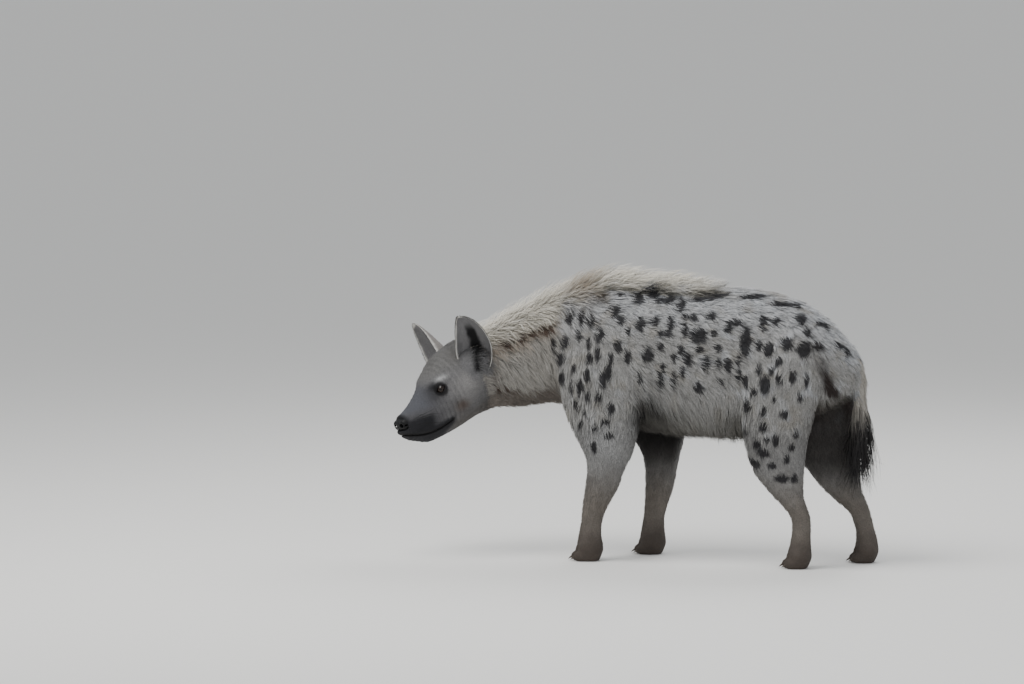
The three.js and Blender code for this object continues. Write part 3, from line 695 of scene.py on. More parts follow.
# Where each point of the skin is on the body: its part, how far along and round it, and its hair's lie
skinFields = bodyFields(skinPoints)
skinDistance = np.stack([skinFields[name][0] for name in partNames])
skinPart = skinDistance.argmin(0)
skinWeight = np.exp(-(skinDistance - skinDistance.min(0)) / joinWidth["lie"])
skinAlong = np.stack([skinFields[name][1] for name in partNames])
skinAngle = np.stack([skinFields[name][2] for name in partNames])
skinLie = np.zeros_like(skinPoints)
for i, name in enumerate(partNames):
    rows, sign = tubes[name], parts[name][1]
    tangent = unit(np.gradient(rows[:, :3], axis=0))
    at = skinAlong[i] * (len(rows) - 1)
    low = np.minimum(at.astype(int), len(rows) - 2)
    share = (at - low)[:, None]
    skinLie += sign * skinWeight[i][:, None] * (tangent[low] * (1 - share) + tangent[low + 1] * share)
onBody = np.isin(skinPart, [partNames.index("trunk"), partNames.index("neck")])
steep = 0.55 + 0.5 * (skinPart == partNames.index("neck"))
skinLie[:, 2] -= steep * abs(skinNormals[:, 0]) * onBody * skinWeight.max(0)
# along the lower flank the hair hangs, and turns back behind the elbow and forward before the thigh
hanging = smoothStep(0.56, 0.46, skinPoints[:, 2]) * abs(skinNormals[:, 0])
hanging = hanging * (skinPart == partNames.index("trunk"))
backwards = np.interp(skinPoints[:, 1], (-0.2, 0.0, 0.08, 0.2), (0.5, 0.35, -0.25, -0.6))
target = np.stack([np.zeros(len(skinPoints)), backwards, -np.ones(len(skinPoints))], 1)
skinLie += (target - skinLie) * hanging[:, None]
skinLie -= (skinLie * skinNormals).sum(1)[:, None] * skinNormals
skinLie = unit(skinLie, 1e-9)
skinWhere = {
    "part": skinPart,
    "along": np.take_along_axis(skinAlong, skinPart[None], 0)[0],
    "angle": np.take_along_axis(skinAngle, skinPart[None], 0)[0],
}

# Everything is made in the animal's frame; the eye's place gives the step to the frame of the part
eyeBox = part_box("eye_left")
eyeCentre = np.array([(a + b) / 2 for a, b in zip(*eyeBox)])
toPart = eyeCentre - fromHead(np.array(eye["place"]) * mm)


def addObject(name, data):
    thing = bpy.data.objects.new(name, data)
    bpy.context.scene.collection.objects.link(thing)
    return thing


def addPiece(name, mesh, material, nodes=()):
    mesh.transform(Matrix.Translation(Vector(toPart)))
    piece = addObject(name, mesh)
    piece.data.materials.clear()
    piece.data.materials.append(material)
    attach(piece, "root")
    if nodes:
        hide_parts(*nodes)
    return piece


# Colours, from sRGB hex to linear
def linear(hexColour):
    parts = [int(hexColour[k:k + 2], 16) / 255 for k in (1, 3, 5)]
    return np.array([c / 12.92 if c <= 0.04045 else ((c + 0.055) / 1.055) ** 2.4 for c in parts])


# Adds a node with its settings and its links, given by the names of its inputs
def addNode(tree, kind, settings=None, **inputs):
    node = tree.nodes.new(kind)
    for key, value in (settings or {}).items():
        setattr(node, key, value)
    for key, value in inputs.items():
        socket = node.inputs[int(key[1:])] if key[0] == "i" and key[1:].isdigit() else node.inputs[key]
        if isinstance(value, bpy.types.NodeSocket):
            tree.links.new(value, socket)
        else:
            socket.default_value = value
    return node


def newMaterial(name):
    material = bpy.data.materials.new(name)
    material.use_nodes = True
    tree = material.node_tree
    return material, tree, tree.nodes["Principled BSDF"]


# Fur: dry keratin, matt, with a faint shine
def furMaterial(name, roughness, grain):
    material, tree, shader = newMaterial(name)
    colour = addNode(tree, "ShaderNodeAttribute", {"attribute_name": "coatColour"})
    place = addNode(tree, "ShaderNodeTexCoord")
    speckle = addNode(tree, "ShaderNodeTexNoise", Vector=place.outputs["Object"], Scale=1 / grain, Detail=2.0)
    shade = addNode(tree, "ShaderNodeMapRange", i0=speckle.outputs["Fac"], i1=0.3, i2=0.7, i3=0.82, i4=1.14)
    tinted = addNode(
        tree, "ShaderNodeMix", {"data_type": "RGBA", "blend_type": "MULTIPLY"},
        i0=1.0, i6=colour.outputs["Color"], i7=shade.outputs["Result"],
    )
    tree.links.new(tinted.outputs[2], shader.inputs["Base Color"])
    shader.inputs["Roughness"].default_value = roughness
    shader.inputs["Specular IOR Level"].default_value = 0.25
    return material, tree, shader


coatMaterial = furMaterial("hyena fur", 0.78, 0.004)[0]
maneMaterial = furMaterial("coarse mane hair", 0.7, 0.003)[0]
tuftMaterial = furMaterial("black tail hair", 0.55, 0.003)[0]
skinMaterial, skinTreeNodes, skinShader = furMaterial("skin under short fur", 0.8, 0.003)
place = addNode(skinTreeNodes, "ShaderNodeTexCoord")
nap = addNode(skinTreeNodes, "ShaderNodeTexNoise", Vector=place.outputs["Object"], Scale=700.0, Detail=3.0)
relief = addNode(skinTreeNodes, "ShaderNodeBump", Height=nap.outputs["Fac"], Strength=0.5, Distance=0.001)
skinTreeNodes.links.new(relief.outputs["Normal"], skinShader.inputs["Normal"])

# The camera, which also places the spots that the photo shows
view = {"azimuth": 107, "elevation": 5, "distance": 14, "pixelsPerMetre": 350, "middle": (-0.5371, 0.6229)}
azimuth, elevation = math.radians(view["azimuth"]), math.radians(view["elevation"])
viewBack = np.array([
    math.sin(azimuth) * math.cos(elevation), -math.cos(azimuth) * math.cos(elevation), math.sin(elevation),
])
viewRight = np.array([math.cos(azimuth), math.sin(azimuth), 0])
viewUp = np.cross(viewBack, viewRight)
viewTarget = view["middle"][0] * viewRight + view["middle"][1] * viewUp
viewPlace = viewTarget + viewBack * view["distance"]
photoSize = (1024, 684)


# The place on the skin that shows at a point of the photo, with its outward direction
def seenAt(x, y):
    long = view["pixelsPerMetre"] * view["distance"]
    ray = viewRight * (x - photoSize[0] / 2) + viewUp * (photoSize[1] / 2 - y) - viewBack * long
    place, normal = skinTree.ray_cast(Vector(viewPlace), Vector(ray).normalized())[:2]
    if place is None:
        return None
    return np.array(place), np.array(normal)


# Spots that the photo shows, read from an enlarged crop: across, down, wide and tall in its pixels
spotsSeen = {
    "left": 540, "top": 255, "scale": 4.3556,
    "back": [
        (270, 187, 38, 40), (352, 178, 30, 18), (425, 190, 56, 54), (497, 175, 62, 38), (548, 162, 40, 26),
        (560, 197, 56, 36), (515, 206, 38, 26), (738, 185, 170, 36), (925, 187, 120, 22), (1050, 220, 100, 20),
        (1115, 227, 44, 26), (612, 222, 38, 62), (1225, 310, 60, 22), (1300, 400, 44, 22),
    ],
    "flank": [
        (328, 245, 46, 56), (352, 285, 32, 40), (438, 302, 42, 56), (498, 290, 42, 46), (570, 300, 30, 60),
        (560, 345, 34, 36), (525, 345, 28, 30), (636, 270, 28, 30), (672, 277, 32, 34), (630, 328, 28, 62),
        (742, 268, 44, 40), (690, 352, 72, 68), (760, 343, 26, 38), (822, 312, 42, 50), (860, 295, 34, 40),
        (895, 375, 46, 132), (385, 330, 22, 56), (470, 435, 48, 68), (525, 400, 30, 44), (615, 415, 28, 44),
        (585, 450, 22, 42), (695, 415, 24, 30), (645, 457, 40, 62), (775, 408, 26, 42), (722, 472, 34, 66),
        (778, 475, 28, 46), (822, 482, 30, 64), (866, 450, 20, 60), (868, 520, 26, 60), (538, 495, 24, 46),
        (622, 510, 24, 52), (525, 545, 28, 80), (583, 545, 20, 80), (435, 540, 22, 52), (690, 578, 34, 40),
        (790, 550, 28, 28), (900, 550, 26, 52),
    ],
    "shoulder": [
        (130, 272, 36, 48), (183, 278, 32, 62), (225, 288, 30, 56), (260, 348, 36, 72), (170, 353, 24, 52),
        (112, 383, 38, 58), (62, 390, 20, 60), (95, 452, 32, 64), (213, 385, 20, 56), (252, 432, 30, 58),
        (217, 455, 26, 52), (342, 400, 32, 62), (383, 440, 30, 64), (310, 460, 22, 60), (302, 510, 32, 72),
        (276, 545, 30, 82), (205, 530, 28, 58), (178, 575, 28, 58), (140, 580, 18, 50), (95, 545, 22, 50),
        (212, 622, 22, 44), (258, 620, 26, 56), (310, 672, 28, 48), (160, 655, 26, 42), (200, 690, 20, 32),
        (290, 722, 30, 42), (240, 745, 26, 42), (235, 840, 26, 48), (300, 790, 40, 26), (180, 740, 18, 32),
        (150, 500, 16, 42),
    ],
    "thigh": [
        (975, 290, 34, 42), (968, 322, 26, 30), (1030, 290, 34, 40), (1135, 285, 46, 44), (1165, 340, 36, 30),
        (955, 400, 28, 42), (998, 415, 42, 62), (1075, 390, 56, 52), (1150, 412, 68, 72), (1210, 398, 38, 36),
        (1040, 470, 24, 42), (957, 500, 26, 42), (1008, 505, 26, 38), (1043, 540, 28, 58), (1100, 533, 30, 54),
        (1160, 550, 24, 60), (980, 570, 42, 92), (933, 598, 28, 38), (905, 655, 26, 62), (1020, 635, 22, 32),
        (972, 685, 32, 36), (1065, 700, 36, 38), (895, 765, 28, 32), (972, 752, 36, 46), (945, 825, 36, 46),
        (990, 805, 22, 32), (1026, 812, 28, 46), (975, 865, 50, 36), (930, 908, 50, 36), (1010, 920, 34, 30),
        (1050, 975, 60, 36), (1108, 975, 28, 42), (1075, 890, 26, 42), (1330, 430, 26, 50), (1130, 620, 24, 40),
        (1110, 780, 28, 36), (1095, 840, 24, 34),
    ],
    "neck": [
        (-195, 363, 34, 32), (-140, 381, 54, 42), (-75, 363, 42, 40), (-30, 346, 38, 32), (17, 328, 50, 36),
        (46, 326, 34, 40), (-95, 307, 54, 22), (-38, 281, 54, 26), (30, 260, 60, 24), (-180, 583, 44, 28),
        (-145, 581, 38, 24), (-105, 578, 36, 22),
    ],
}
draw = np.random.default_rng(7)


# The opposite place on the animal, found by part, distance along it and angle round it
def mirroredPlace(point):
    fields = bodyFields(point[None])
    name = min(fields, key=lambda key: fields[key][0][0])
    along, angle = fields[name][1][0], fields[name][2][0]
    other = name.replace("Left", "Right")
    rows = tubes[other]
    at = np.clip(along + draw.normal(0, 0.012), 0, 1) * (len(rows) - 1)
    low = min(int(at), len(rows) - 2)
    row = rows[low] + (rows[low + 1] - rows[low]) * (at - low)
    turned = math.pi - angle + draw.normal(0, 0.07)
    tall = row[4] if math.sin(turned) > 0 else row[5]
    place = row[:3] + row[6:9] * math.cos(turned) * row[3] + row[9:12] * math.sin(turned) * tall
    found, normal = skinTree.find_nearest(Vector(place))[:2]
    return np.array(found), np.array(normal)


# A spot is its centre, its two directions on the skin and its half sizes, wider where the skin slants away
def findSpots():
    pixel = 1 / view["pixelsPerMetre"]
    spots = []
    for group in ("back", "flank", "shoulder", "thigh", "neck"):
        for x, y, wide, tall in spotsSeen[group]:
            seen = seenAt(spotsSeen["left"] + x / spotsSeen["scale"], spotsSeen["top"] + y / spotsSeen["scale"])
            if seen is None:
                continue
            centre, normal = seen
            across = viewRight - (viewRight @ normal) * normal
            slant = np.linalg.norm(across)
            across /= slant
            rise = np.cross(normal, across)
            size = np.array([wide, tall]) / spotsSeen["scale"] * pixel / 2
            size /= np.maximum([slant, abs(rise @ viewUp)], 0.45)
            spots.append((centre, across, rise, size, group))
            point, normal = mirroredPlace(centre)
            across = across * (-1, 1, 1)
            across = unit(across - (across @ normal) * normal)
            spots.append((point, across, np.cross(normal, across), size * draw.uniform(0.8, 1.2, 2), group))
    return spots


spots = findSpots()
print("spots:", len(spots))


def unevenness(points, scale, octaves=2):
    return np.array([noise.fractal(Vector(point), 1.0, 2.0, octaves) for point in points / scale])


# How strongly each point is inside a spot of the body, and of the neck
def spotted(points):
    dark = {"body": np.zeros(len(points)), "neck": np.zeros(len(points))}
    warp = 0.2 * unevenness(points, 0.014)
    for centre, across, rise, size, group in spots:
        reach = size.max() * 1.6 + 0.004
        near = np.flatnonzero((abs(points - centre) < reach).all(1))
        if not len(near):
            continue
        kind = dark["neck" if group == "neck" else "body"]
        offset = points[near] - centre
        q = np.sqrt((offset @ across / size[0]) ** 2 + (offset @ rise / size[1]) ** 2) + warp[near]
        kind[near] = np.maximum(kind[near], smoothStep(1.36, 0.82, q))
    return dark["body"], dark["neck"]


# The coat's colours. Some stand for light and shade: back is painted light from above; belly, inner and dark are
# painted shade; rear is dark fur deepened with painted shade; the pale bluish grey is a painted highlight, and
# muzzleTop carries a faint painted bluish highlight.
palette = {
    "coat": "#92918f", "back": "#adaeb0", "belly": "#66645f", "spot": "#1b1a1e", "mane": "#d6d0c2",
    "maneFoot": "#8d7d6a", "neck": "#8f8b84", "throat": "#69625c", "band": "#3c2d25", "face": "#5d5c5d",
    "crown": "#5f5e5d", "muzzleTop": "#4a4b50", "muzzle": "#1f1f22", "lips": "#0e0d0e", "eyeRim": "#121113",
    "brow": "#a4a4a4", "cheek": "#7e7c7b", "cheekPatch": "#50443d", "leg": "#7b7a79", "forearm": "#989898",
    "lowerLeg": "#67615b", "paw": "#443d38", "inner": "#2e2a28", "dark": "#151313", "rear": "#2f2725",
    "tailRoot": "#a8a39b", "tuft": "#1c1a1b", "earBack": "#777370", "earRim": "#cfcdc8", "earInside": "#6b6a6b",
    "earSlot": "#0f0e10", "pale": "#cdcdcb", "paintedHighlight": "#b9bcc1", "jaw": "#524e4b", "muzzleSide": "#4a494b",
    "crownDark": "#4b4947",
}
shades = {name: linear(value) for name, value in palette.items()}


def mixed(colours, shade, weight):
    return colours + (shades[shade] - colours) * np.clip(weight, 0, 1)[:, None]


# Patches of one colour: shade, place, reach and strength. Down to the foot of the mane they are in the
# animal's frame, and the others in the head's.
patches = {
    "forearm": ("forearm", (0, -250, 345), (1, 70, 60), 0.8),
    # painted shadow in the armpit, painted shade before the thigh and in the groin, and behind the thigh dark
    # fur deepened with painted shade
    "armpit shadow": ("dark", (92, -118, 412), (66, 52, 56), 1.7),
    "shade before thigh": ("inner", (110, 105, 404), (60, 62, 28), 0.7),
    "groin shade": ("rear", (60, 300, 430), (60, 90, 70), 0.7),
    "rear of thigh": ("rear", (80, 400, 500), (50, 16, 100), 1.3),
    "foot of mane": ("maneFoot", (0, -335, 765), (1, 60, 34), 0.8),
    "crown": ("crownDark", (238, 50, 118), (22, 22, 22), 0.6),
    "cheek": ("cheek", (225, 88, 35), (50, 40, 45), 1.0),
    "cheek mark": ("cheekPatch", (184, 75, -16), (21, 32, 15), 0.85),
    "brow": ("brow", (162, 63, 83), (19, 20, 7), 0.95),
    "before eye": ("muzzle", (131, 50, 68), (17, 20, 14), 1.15),
    "under eye": ("muzzle", (126, 50, 42), (24, 24, 20), 0.6),
    # painted shadow where the back of the head stands out from the neck
    "shadow behind cheek": ("band", (300, 96, 20), (17, 40, 56), 0.5),
}


# The animal's colours at points of its skin
def coatColours(points, where):
    part, along, angle = where["part"], where["along"], where["angle"]
    rough = unevenness(points, 0.05, 3)
    colours = np.tile(shades["coat"], (len(points), 1))

    def tint(shade, weight):
        nonlocal colours
        colours = mixed(colours, shade, weight)

    def patch(name, place, weight):
        shade, middle, reach, strength = patches[name]
        tint(shade, weight * strength * bump(*place, middle, reach))

    x, y, z = abs(points[:, 0]) / mm, points[:, 1] / mm, points[:, 2] / mm
    everywhere = np.ones(len(points))
    isPart = {name: part == k for k, name in enumerate(partNames)}
    fore = isPart["foreLeft"] | isPart["foreRight"]
    legs = fore | isPart["hindLeft"] | isPart["hindRight"]
    inward = np.where(isPart["foreLeft"] | isPart["hindLeft"], -np.cos(angle), np.cos(angle)) * legs
    high = np.sin(angle)
    onTrunk = (isPart["trunk"] | isPart["neck"]).astype(float)
    # painted light and shade: the top of the trunk and neck is painted paler, as light from above, and the
    # underside darker, as painted shade
    tint("back", onTrunk * smoothStep(0.3, 0.9, high))
    tint("belly", onTrunk * smoothStep(-0.55, -0.95, high + 0.15 * rough))
    # warm places through the coat
    warm = smoothStep(0.0, 0.7, unevenness(points + 3, 0.035)) * smoothStep(200, 400, z)
    tint("neck", (onTrunk + legs) * warm * 0.7)
    # pale bluish patches of painted highlight, high on the body and legs and strongest towards the rump
    highlightPatches = smoothStep(0.1, 0.8, unevenness(points - 5, 0.04)) * smoothStep(300, 420, z)
    tint("paintedHighlight", (onTrunk + legs) * highlightPatches * (0.35 + 0.35 * smoothStep(0, 250, y)))
    tint("leg", legs * smoothStep(420, 330, z + 40 * rough))
    patch("forearm", (0, y, z + 20 * rough), fore)
    tint("lowerLeg", legs * smoothStep(300, 150, z + 16 * rough))
    tint("paw", legs * smoothStep(140, 20, z + 10 * rough))
    onNeck = isPart["neck"] * smoothStep(-372, -412, y + 12 * rough)
    tint("neck", onNeck * 0.8)
    tint("throat", onNeck * smoothStep(-0.25, -0.7, high + 0.2 * rough))
    bodySpots, neckSpots = spotted(points)
    tint("spot", bodySpots * 0.94)
    # painted shade where the legs meet the belly, inside the legs and under the tail, in places over darker fur
    inside = smoothStep(0.0, 0.7, inward)
    # inside the legs the fur is a little darker, and painted shade darkens it further
    tint("inner", inside * smoothStep(180, 300, z) * 0.85)
    # painted shadow in the armpit, and deeper painted shade high inside the forelegs
    patch("armpit shadow", (x, y, z + 12 * rough), everywhere)
    tint("dark", inside * smoothStep(250, 340, z) * fore * 0.9)
    # painted shade before the thigh, low on the trunk and under the belly
    patch("shade before thigh", (x, y, z + 14 * rough), everywhere)
    tint("belly", onTrunk * smoothStep(475, 405, z + 20 * rough) * (y > -250) * 0.6)
    tint("inner", onTrunk * smoothStep(-0.8, -0.98, high) * (y > -250) * 0.7)
    # painted shade in the groin; behind the thigh, dark streaks of fur deepened with painted shade
    patch("groin shade", (x, y, z), everywhere)
    streak = y + 0.34 * (z - 500) + 10 * unevenness(points * (1, 1, 0.3), 0.012)
    patch("rear of thigh", (x, streak, z), everywhere)
    # the mane pales upwards from a brown row of marks at its foot
    tint("maneFoot", onNeck * smoothStep(0.35, 0.7, high + 0.1 * rough) * 0.6)
    tint("band", neckSpots * 0.9)
    crest = smoothStep(0.7, 0.92, high - 0.1 * (1 - onNeck) + 0.1 * rough)
    tint("mane", isPart["neck"] * crest)
    patch("foot of mane", (0, y, z), everywhere)
    withers = smoothStep(0.92, 0.965, high + 0.03 * rough) * smoothStep(0.56, 0.4, along)
    tint("mane", isPart["trunk"] * withers)
    tint("tailRoot", isPart["tail"] * 1.0)
    tint("tuft", isPart["tail"] * smoothStep(0.48, 0.7, along + 0.05 * rough))
    # the head
    place = onHeadSide(points)
    x, side, up = place.T
    face = isPart["head"].astype(float)
    tint("face", face)
    tint("crown", face * smoothStep(70, 120, up + 15 * rough))
    patch("crown", place.T, face)
    patch("cheek", place.T, face)
    tint("jaw", face * smoothStep(-20, -60, up + 8 * rough) * smoothStep(100, 160, x) * 0.75)
    patch("cheek mark", (x, side, up + 6 * rough), face)
    tint("muzzleSide", face * smoothStep(165, 110, x + 16 * rough + 0.2 * up))
    # the ridge of the muzzle: dark grey fur with a faint bluish cast, a painted highlight from above
    ridge = smoothStep(12, 40, up + 0.15 * (x - 60)) * smoothStep(150, 90, x + 12 * rough)
    tint("muzzleTop", face * ridge)
    lowSide = smoothStep(26, 8, up + 0.2 * (x - 40) + 8 * rough)
    tint("muzzle", face * smoothStep(118, 88, x + 6 * rough) * lowSide)
    tint("muzzle", face * smoothStep(134, 112, x + 0.25 * (up + 60)) * smoothStep(-38, -50, up))
    tint("muzzle", face * smoothStep(34, 20, x))
    lipGap = up - mouthHeight(x)
    thick = (22 - 9 * smoothStep(120, 165, x)) * np.where(lipGap < 0, 1.5, 1)
    lipDark = smoothStep(thick, thick * 0.4, abs(lipGap) + 4 * rough)
    tint("muzzle", face * lipDark * smoothStep(166, 146, x))
    tint("lips", face * smoothStep(160, 150, x) * smoothStep(6, 3, abs(lipGap)))
    eyeFar = np.linalg.norm(place - eye["place"], axis=1)
    for name in ("brow", "before eye", "under eye"):
        patch(name, place.T, face)
    tint("eyeRim", face * smoothStep(24, 16, eyeFar + 3 * rough))
    # painted shadow behind the cheek, where the head stands out from the neck, fainter on the far side
    onLeft = toHead(points)[:, 1] > 0
    patch("shadow behind cheek", place.T, isPart["neck"] * np.where(onLeft, 1, 0.2))
    # the floor of the ear, where the dark slot runs down into it
    turned = [(place - ear["place"]) @ earTurns[sign] for sign in (1, -1)]
    a, b, c = np.where(onLeft[:, None], *turned).T
    cup = smoothStep(1.15, 0.8, np.sqrt((a / 46) ** 2 + ((b + 22) / 40) ** 2)) * smoothStep(-8, 6, c)
    tint("earInside", cup)
    tint("earSlot", cup * np.exp(-(((a + 5) / 12) ** 2)) * smoothStep(6, 24, c))
    return colours * (1 + 0.1 * rough[:, None])


skinColours = coatColours(skinPoints, skinWhere)


# The ear's colours: pale rim, grey fur along both inner edges, and a dark slot between them
def earColours(points, along, round, inner):
    rough = unevenness(points, 0.02)
    colours = np.tile(shades["earBack"], (len(points), 1))
    colours = mixed(colours, "earInside", inner * 1.0)
    middle = ear["slot"][0] + ear["slot"][1] * along
    slot = smoothStep(0.34, 0.14, abs(round - middle) + 0.08 * rough) * smoothStep(0.86, 0.66, along)
    colours = mixed(colours, "earSlot", inner * slot)
    edge = np.maximum(abs(round), smoothStep(0.8, 1, along) * 0.99)
    pale = smoothStep(0.9, 0.97, edge + 0.02 * rough) * smoothStep(0.1, 0.4, along + 0.5 * (round < 0))
    colours = mixed(colours, "earRim", 0.9 * pale)
    return colours * (1 + 0.1 * rough[:, None])


def paint(mesh, name, colours):
    layer = mesh.attributes.get(name) or mesh.attributes.new(name, "FLOAT_COLOR", "POINT")
    full = np.ones((len(colours), 4), np.float32)
    full[:, :3] = np.clip(colours, 0.002, 1)
    layer.data.foreach_set("color", full.ravel())


def joined(meshes, names):
    pieces = [addObject(name, mesh) for mesh, name in zip(meshes, names)]
    for other in pieces[1:]:
        cutter = pieces[0].modifiers.new("join", "BOOLEAN")
        cutter.operation = "UNION"
        cutter.solver = "MANIFOLD"
        cutter.object = other
    bpy.context.view_layer.update()
    graph = bpy.context.evaluated_depsgraph_get()
    result = bpy.data.meshes.new_from_object(pieces[0].evaluated_get(graph))
    for piece in pieces:
        bpy.data.objects.remove(piece)
    return result


fleshNodes = [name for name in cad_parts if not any(word in name for word in ("claw", "eye", "nose"))]


def addSkin():
    allPoints, allColours, ears = [skinPoints], [skinColours], []
    for sign in (1, -1):
        mesh, along, round, inner = makeEar(sign)
        points = np.array([v.co for v in mesh.vertices])
        allPoints.append(points)
        allColours.append(earColours(points, along, round, inner))
        ears.append(mesh)
    whole = joined([skinMesh, *ears], ["skinBody", "earOne", "earTwo"])
    # every point takes the colour of the nearest one before the join
    nearest = nearestOf(np.vstack(allPoints), [v.co for v in whole.vertices])
    paint(whole, "coatColour", np.vstack(allColours)[nearest])
    for polygon in whole.polygons:
        polygon.use_smooth = True
    return addPiece("skin", whole, skinMaterial, fleshNodes)


skin = addSkin()
print("skin with ears:", len(skin.data.polygons), "faces")


def meshFrom(name, points, faces):
    mesh = bpy.data.meshes.new(name)
    mesh.from_pydata(np.asarray(points).tolist(), [], faces)
    for polygon in mesh.polygons:
        polygon.use_smooth = True
    return mesh


# Turns the faces of a closed mesh outwards
def facedOut(mesh):
    work = bmesh.new()
    work.from_mesh(mesh)
    bmesh.ops.recalc_face_normals(work, faces=work.faces[:])
    work.to_mesh(mesh)
    work.free()
    return mesh


# Nose: bare black skin, finely pebbled and a little moist, so it carries soft highlights
def noseField(points):
    x, y, z = points.T
    side = abs(y)
    px, _, pz = noseSize["place"]
    d = ellipsoidField(x - px, y, z - pz, noseSize["half"])
    d = smoothMin(d, ellipsoidField(x - 18, side - 18, z - 10, (16, 11, 14)), 6)
    d = smoothMax(d, 4 - x + 0.006 * y**2, 4)
    hole = ellipsoidField(x - 9, side - 15, z - 10, (13, 7, 6))
    slit = ellipsoidField(x - 22, side - 27, z - 7, (13, 8, 2.6))
    d = smoothMax(d, -smoothMin(hole, slit, 3), 2.5)
    d = d + 2.4 * np.exp(-((y / 1.4) ** 2)) * smoothStep(16, 8, z) * smoothStep(18, 6, x)
    return d + 1.2 * np.exp(-((y / 7) ** 2)) * smoothStep(14, 24, z) * smoothStep(24, 10, x)


def addNose():
    step = noseSize["grid"]
    low, high = np.array(noseSize["low"], float), np.array(noseSize["high"], float)
    points, shape = gridPoints(low, high, step)
    field = noseField(points).reshape(shape)
    vertices, quads = netSurface(field, low, step)
    vertices = settle(vertices, noseField, steps=3, most=1.0, small=0.1)
    mesh = facedOut(meshFrom("nose", fromHead(vertices * mm), quads.tolist()))
    material, tree, shader = newMaterial("bare nose skin")
    place = addNode(tree, "ShaderNodeTexCoord")
    pebble = addNode(tree, "ShaderNodeTexVoronoi", Vector=place.outputs["Object"], Scale=1 / 0.0016)
    blotch = addNode(tree, "ShaderNodeTexNoise", Vector=place.outputs["Object"], Scale=60.0, Detail=3.0)
    dark, lighter = (*linear("#050506"), 1), (*linear("#0e0e10"), 1)
    tone = addNode(
        tree, "ShaderNodeMix", {"data_type": "RGBA"}, i0=blotch.outputs["Fac"], i6=dark, i7=lighter,
    )
    relief = addNode(tree, "ShaderNodeBump", Height=pebble.outputs["Distance"], Strength=0.35, Distance=0.0006)
    tree.links.new(tone.outputs[2], shader.inputs["Base Color"])
    tree.links.new(relief.outputs["Normal"], shader.inputs["Normal"])
    shader.inputs["Roughness"].default_value = 0.5
    shader.inputs["Specular IOR Level"].default_value = 0.22
    addPiece("nose_pad", mesh, material, ["nose"])


addNose()


# Eyes: wet, clear cornea over a dark brown iris, so they show a small sharp light
def addEye(name, sign):
    facing = eyeAxes[2] * [1, sign, 1]
    first = np.cross(facing, [0, 0, 1])
    first /= np.linalg.norm(first)
    second = np.cross(facing, first)
    centre = np.array(eye["place"]) * [1, sign, 1]
    polar = np.concatenate([np.linspace(0.02, 0.9, 26), np.linspace(1.0, math.pi - 0.02, 16)])
    rounds = np.linspace(0, 2 * math.pi, 40, endpoint=False)
    radius = eye["radius"] + 1.3 * smoothStep(0.75, 0.3, polar)
    points, colours = [], []
    dark, brown, white = linear("#050406"), linear("#2a1a10"), linear("#1f1917")
    for tilt, r in zip(polar, radius):
        for turn in rounds:
            across = math.cos(turn) * first + math.sin(turn) * second
            points.append(centre + r * (math.cos(tilt) * facing + math.sin(tilt) * across))
            streak = 0.75 + 0.4 * noise.noise(Vector((math.cos(turn) * 6, math.sin(turn) * 6, tilt * 2)))
            iris = brown * streak * (1.25 - tilt)
            share = float(smoothStep(0.24, 0.3, tilt))
            colour = dark * (1 - share) + iris * share
            share = float(smoothStep(0.6, 0.7, tilt))
            colour = colour * (1 - share) + white * share * float(0.35 + 0.65 * smoothStep(0.7, 1.0, tilt))
            colours.append(colour)
    count = len(rounds)
    faces = [tuple(range(count))[::-1], tuple((len(polar) - 1) * count + k for k in range(count))]
    for i in range(len(polar) - 1):
        for k in range(count):
            n = (k + 1) % count
            faces.append((i * count + k, i * count + n, (i + 1) * count + n, (i + 1) * count + k))
    mesh = facedOut(meshFrom(name, fromHead(np.array(points) * mm), faces))
    paint(mesh, "eyeColour", np.array(colours))
    addPiece(name, mesh, eyeMaterial, ["eye_left" if sign > 0 else "eye_right"])


eyeMaterial, eyeTree, eyeShader = newMaterial("wet eye")
eyeColour = addNode(eyeTree, "ShaderNodeAttribute", {"attribute_name": "eyeColour"})
eyeTree.links.new(eyeColour.outputs["Color"], eyeShader.inputs["Base Color"])
eyeShader.inputs["Roughness"].default_value = 0.06
eyeShader.inputs["IOR"].default_value = 1.38
addEye("eyeball_left", 1)
addEye("eyeball_right", -1)

# Claws: worn dark horn, smooth but dull, with a fine grain of darker and paler horn
clawSize = {
    "rings": 9, "sides": 10, "reach": 1.35, "root": 0.008, "curl": 1.7, "thick": (0.95, 0.62),
    "below": 0.75, "drop": 0.95, "taper": 0.86, "tip": 1.5, "lowest": 0.0008,
}
clawMaterial, clawTree, clawShader = newMaterial("worn claw horn")
clawPlace = addNode(clawTree, "ShaderNodeTexCoord")
clawGrain = addNode(clawTree, "ShaderNodeTexNoise", Vector=clawPlace.outputs["Object"], Scale=350.0, Detail=3.0)
clawTone = addNode(
    clawTree, "ShaderNodeMix", {"data_type": "RGBA"}, i0=clawGrain.outputs["Fac"],
    i6=(*linear("#1f1a17"), 1), i7=(*linear("#5a4e42"), 1),
)
clawTree.links.new(clawTone.outputs[2], clawShader.inputs["Base Color"])
clawRelief = addNode(clawTree, "ShaderNodeBump", Height=clawGrain.outputs["Fac"], Strength=0.3, Distance=0.0005)
clawTree.links.new(clawRelief.outputs["Normal"], clawShader.inputs["Normal"])
clawShader.inputs["Roughness"].default_value = 0.42


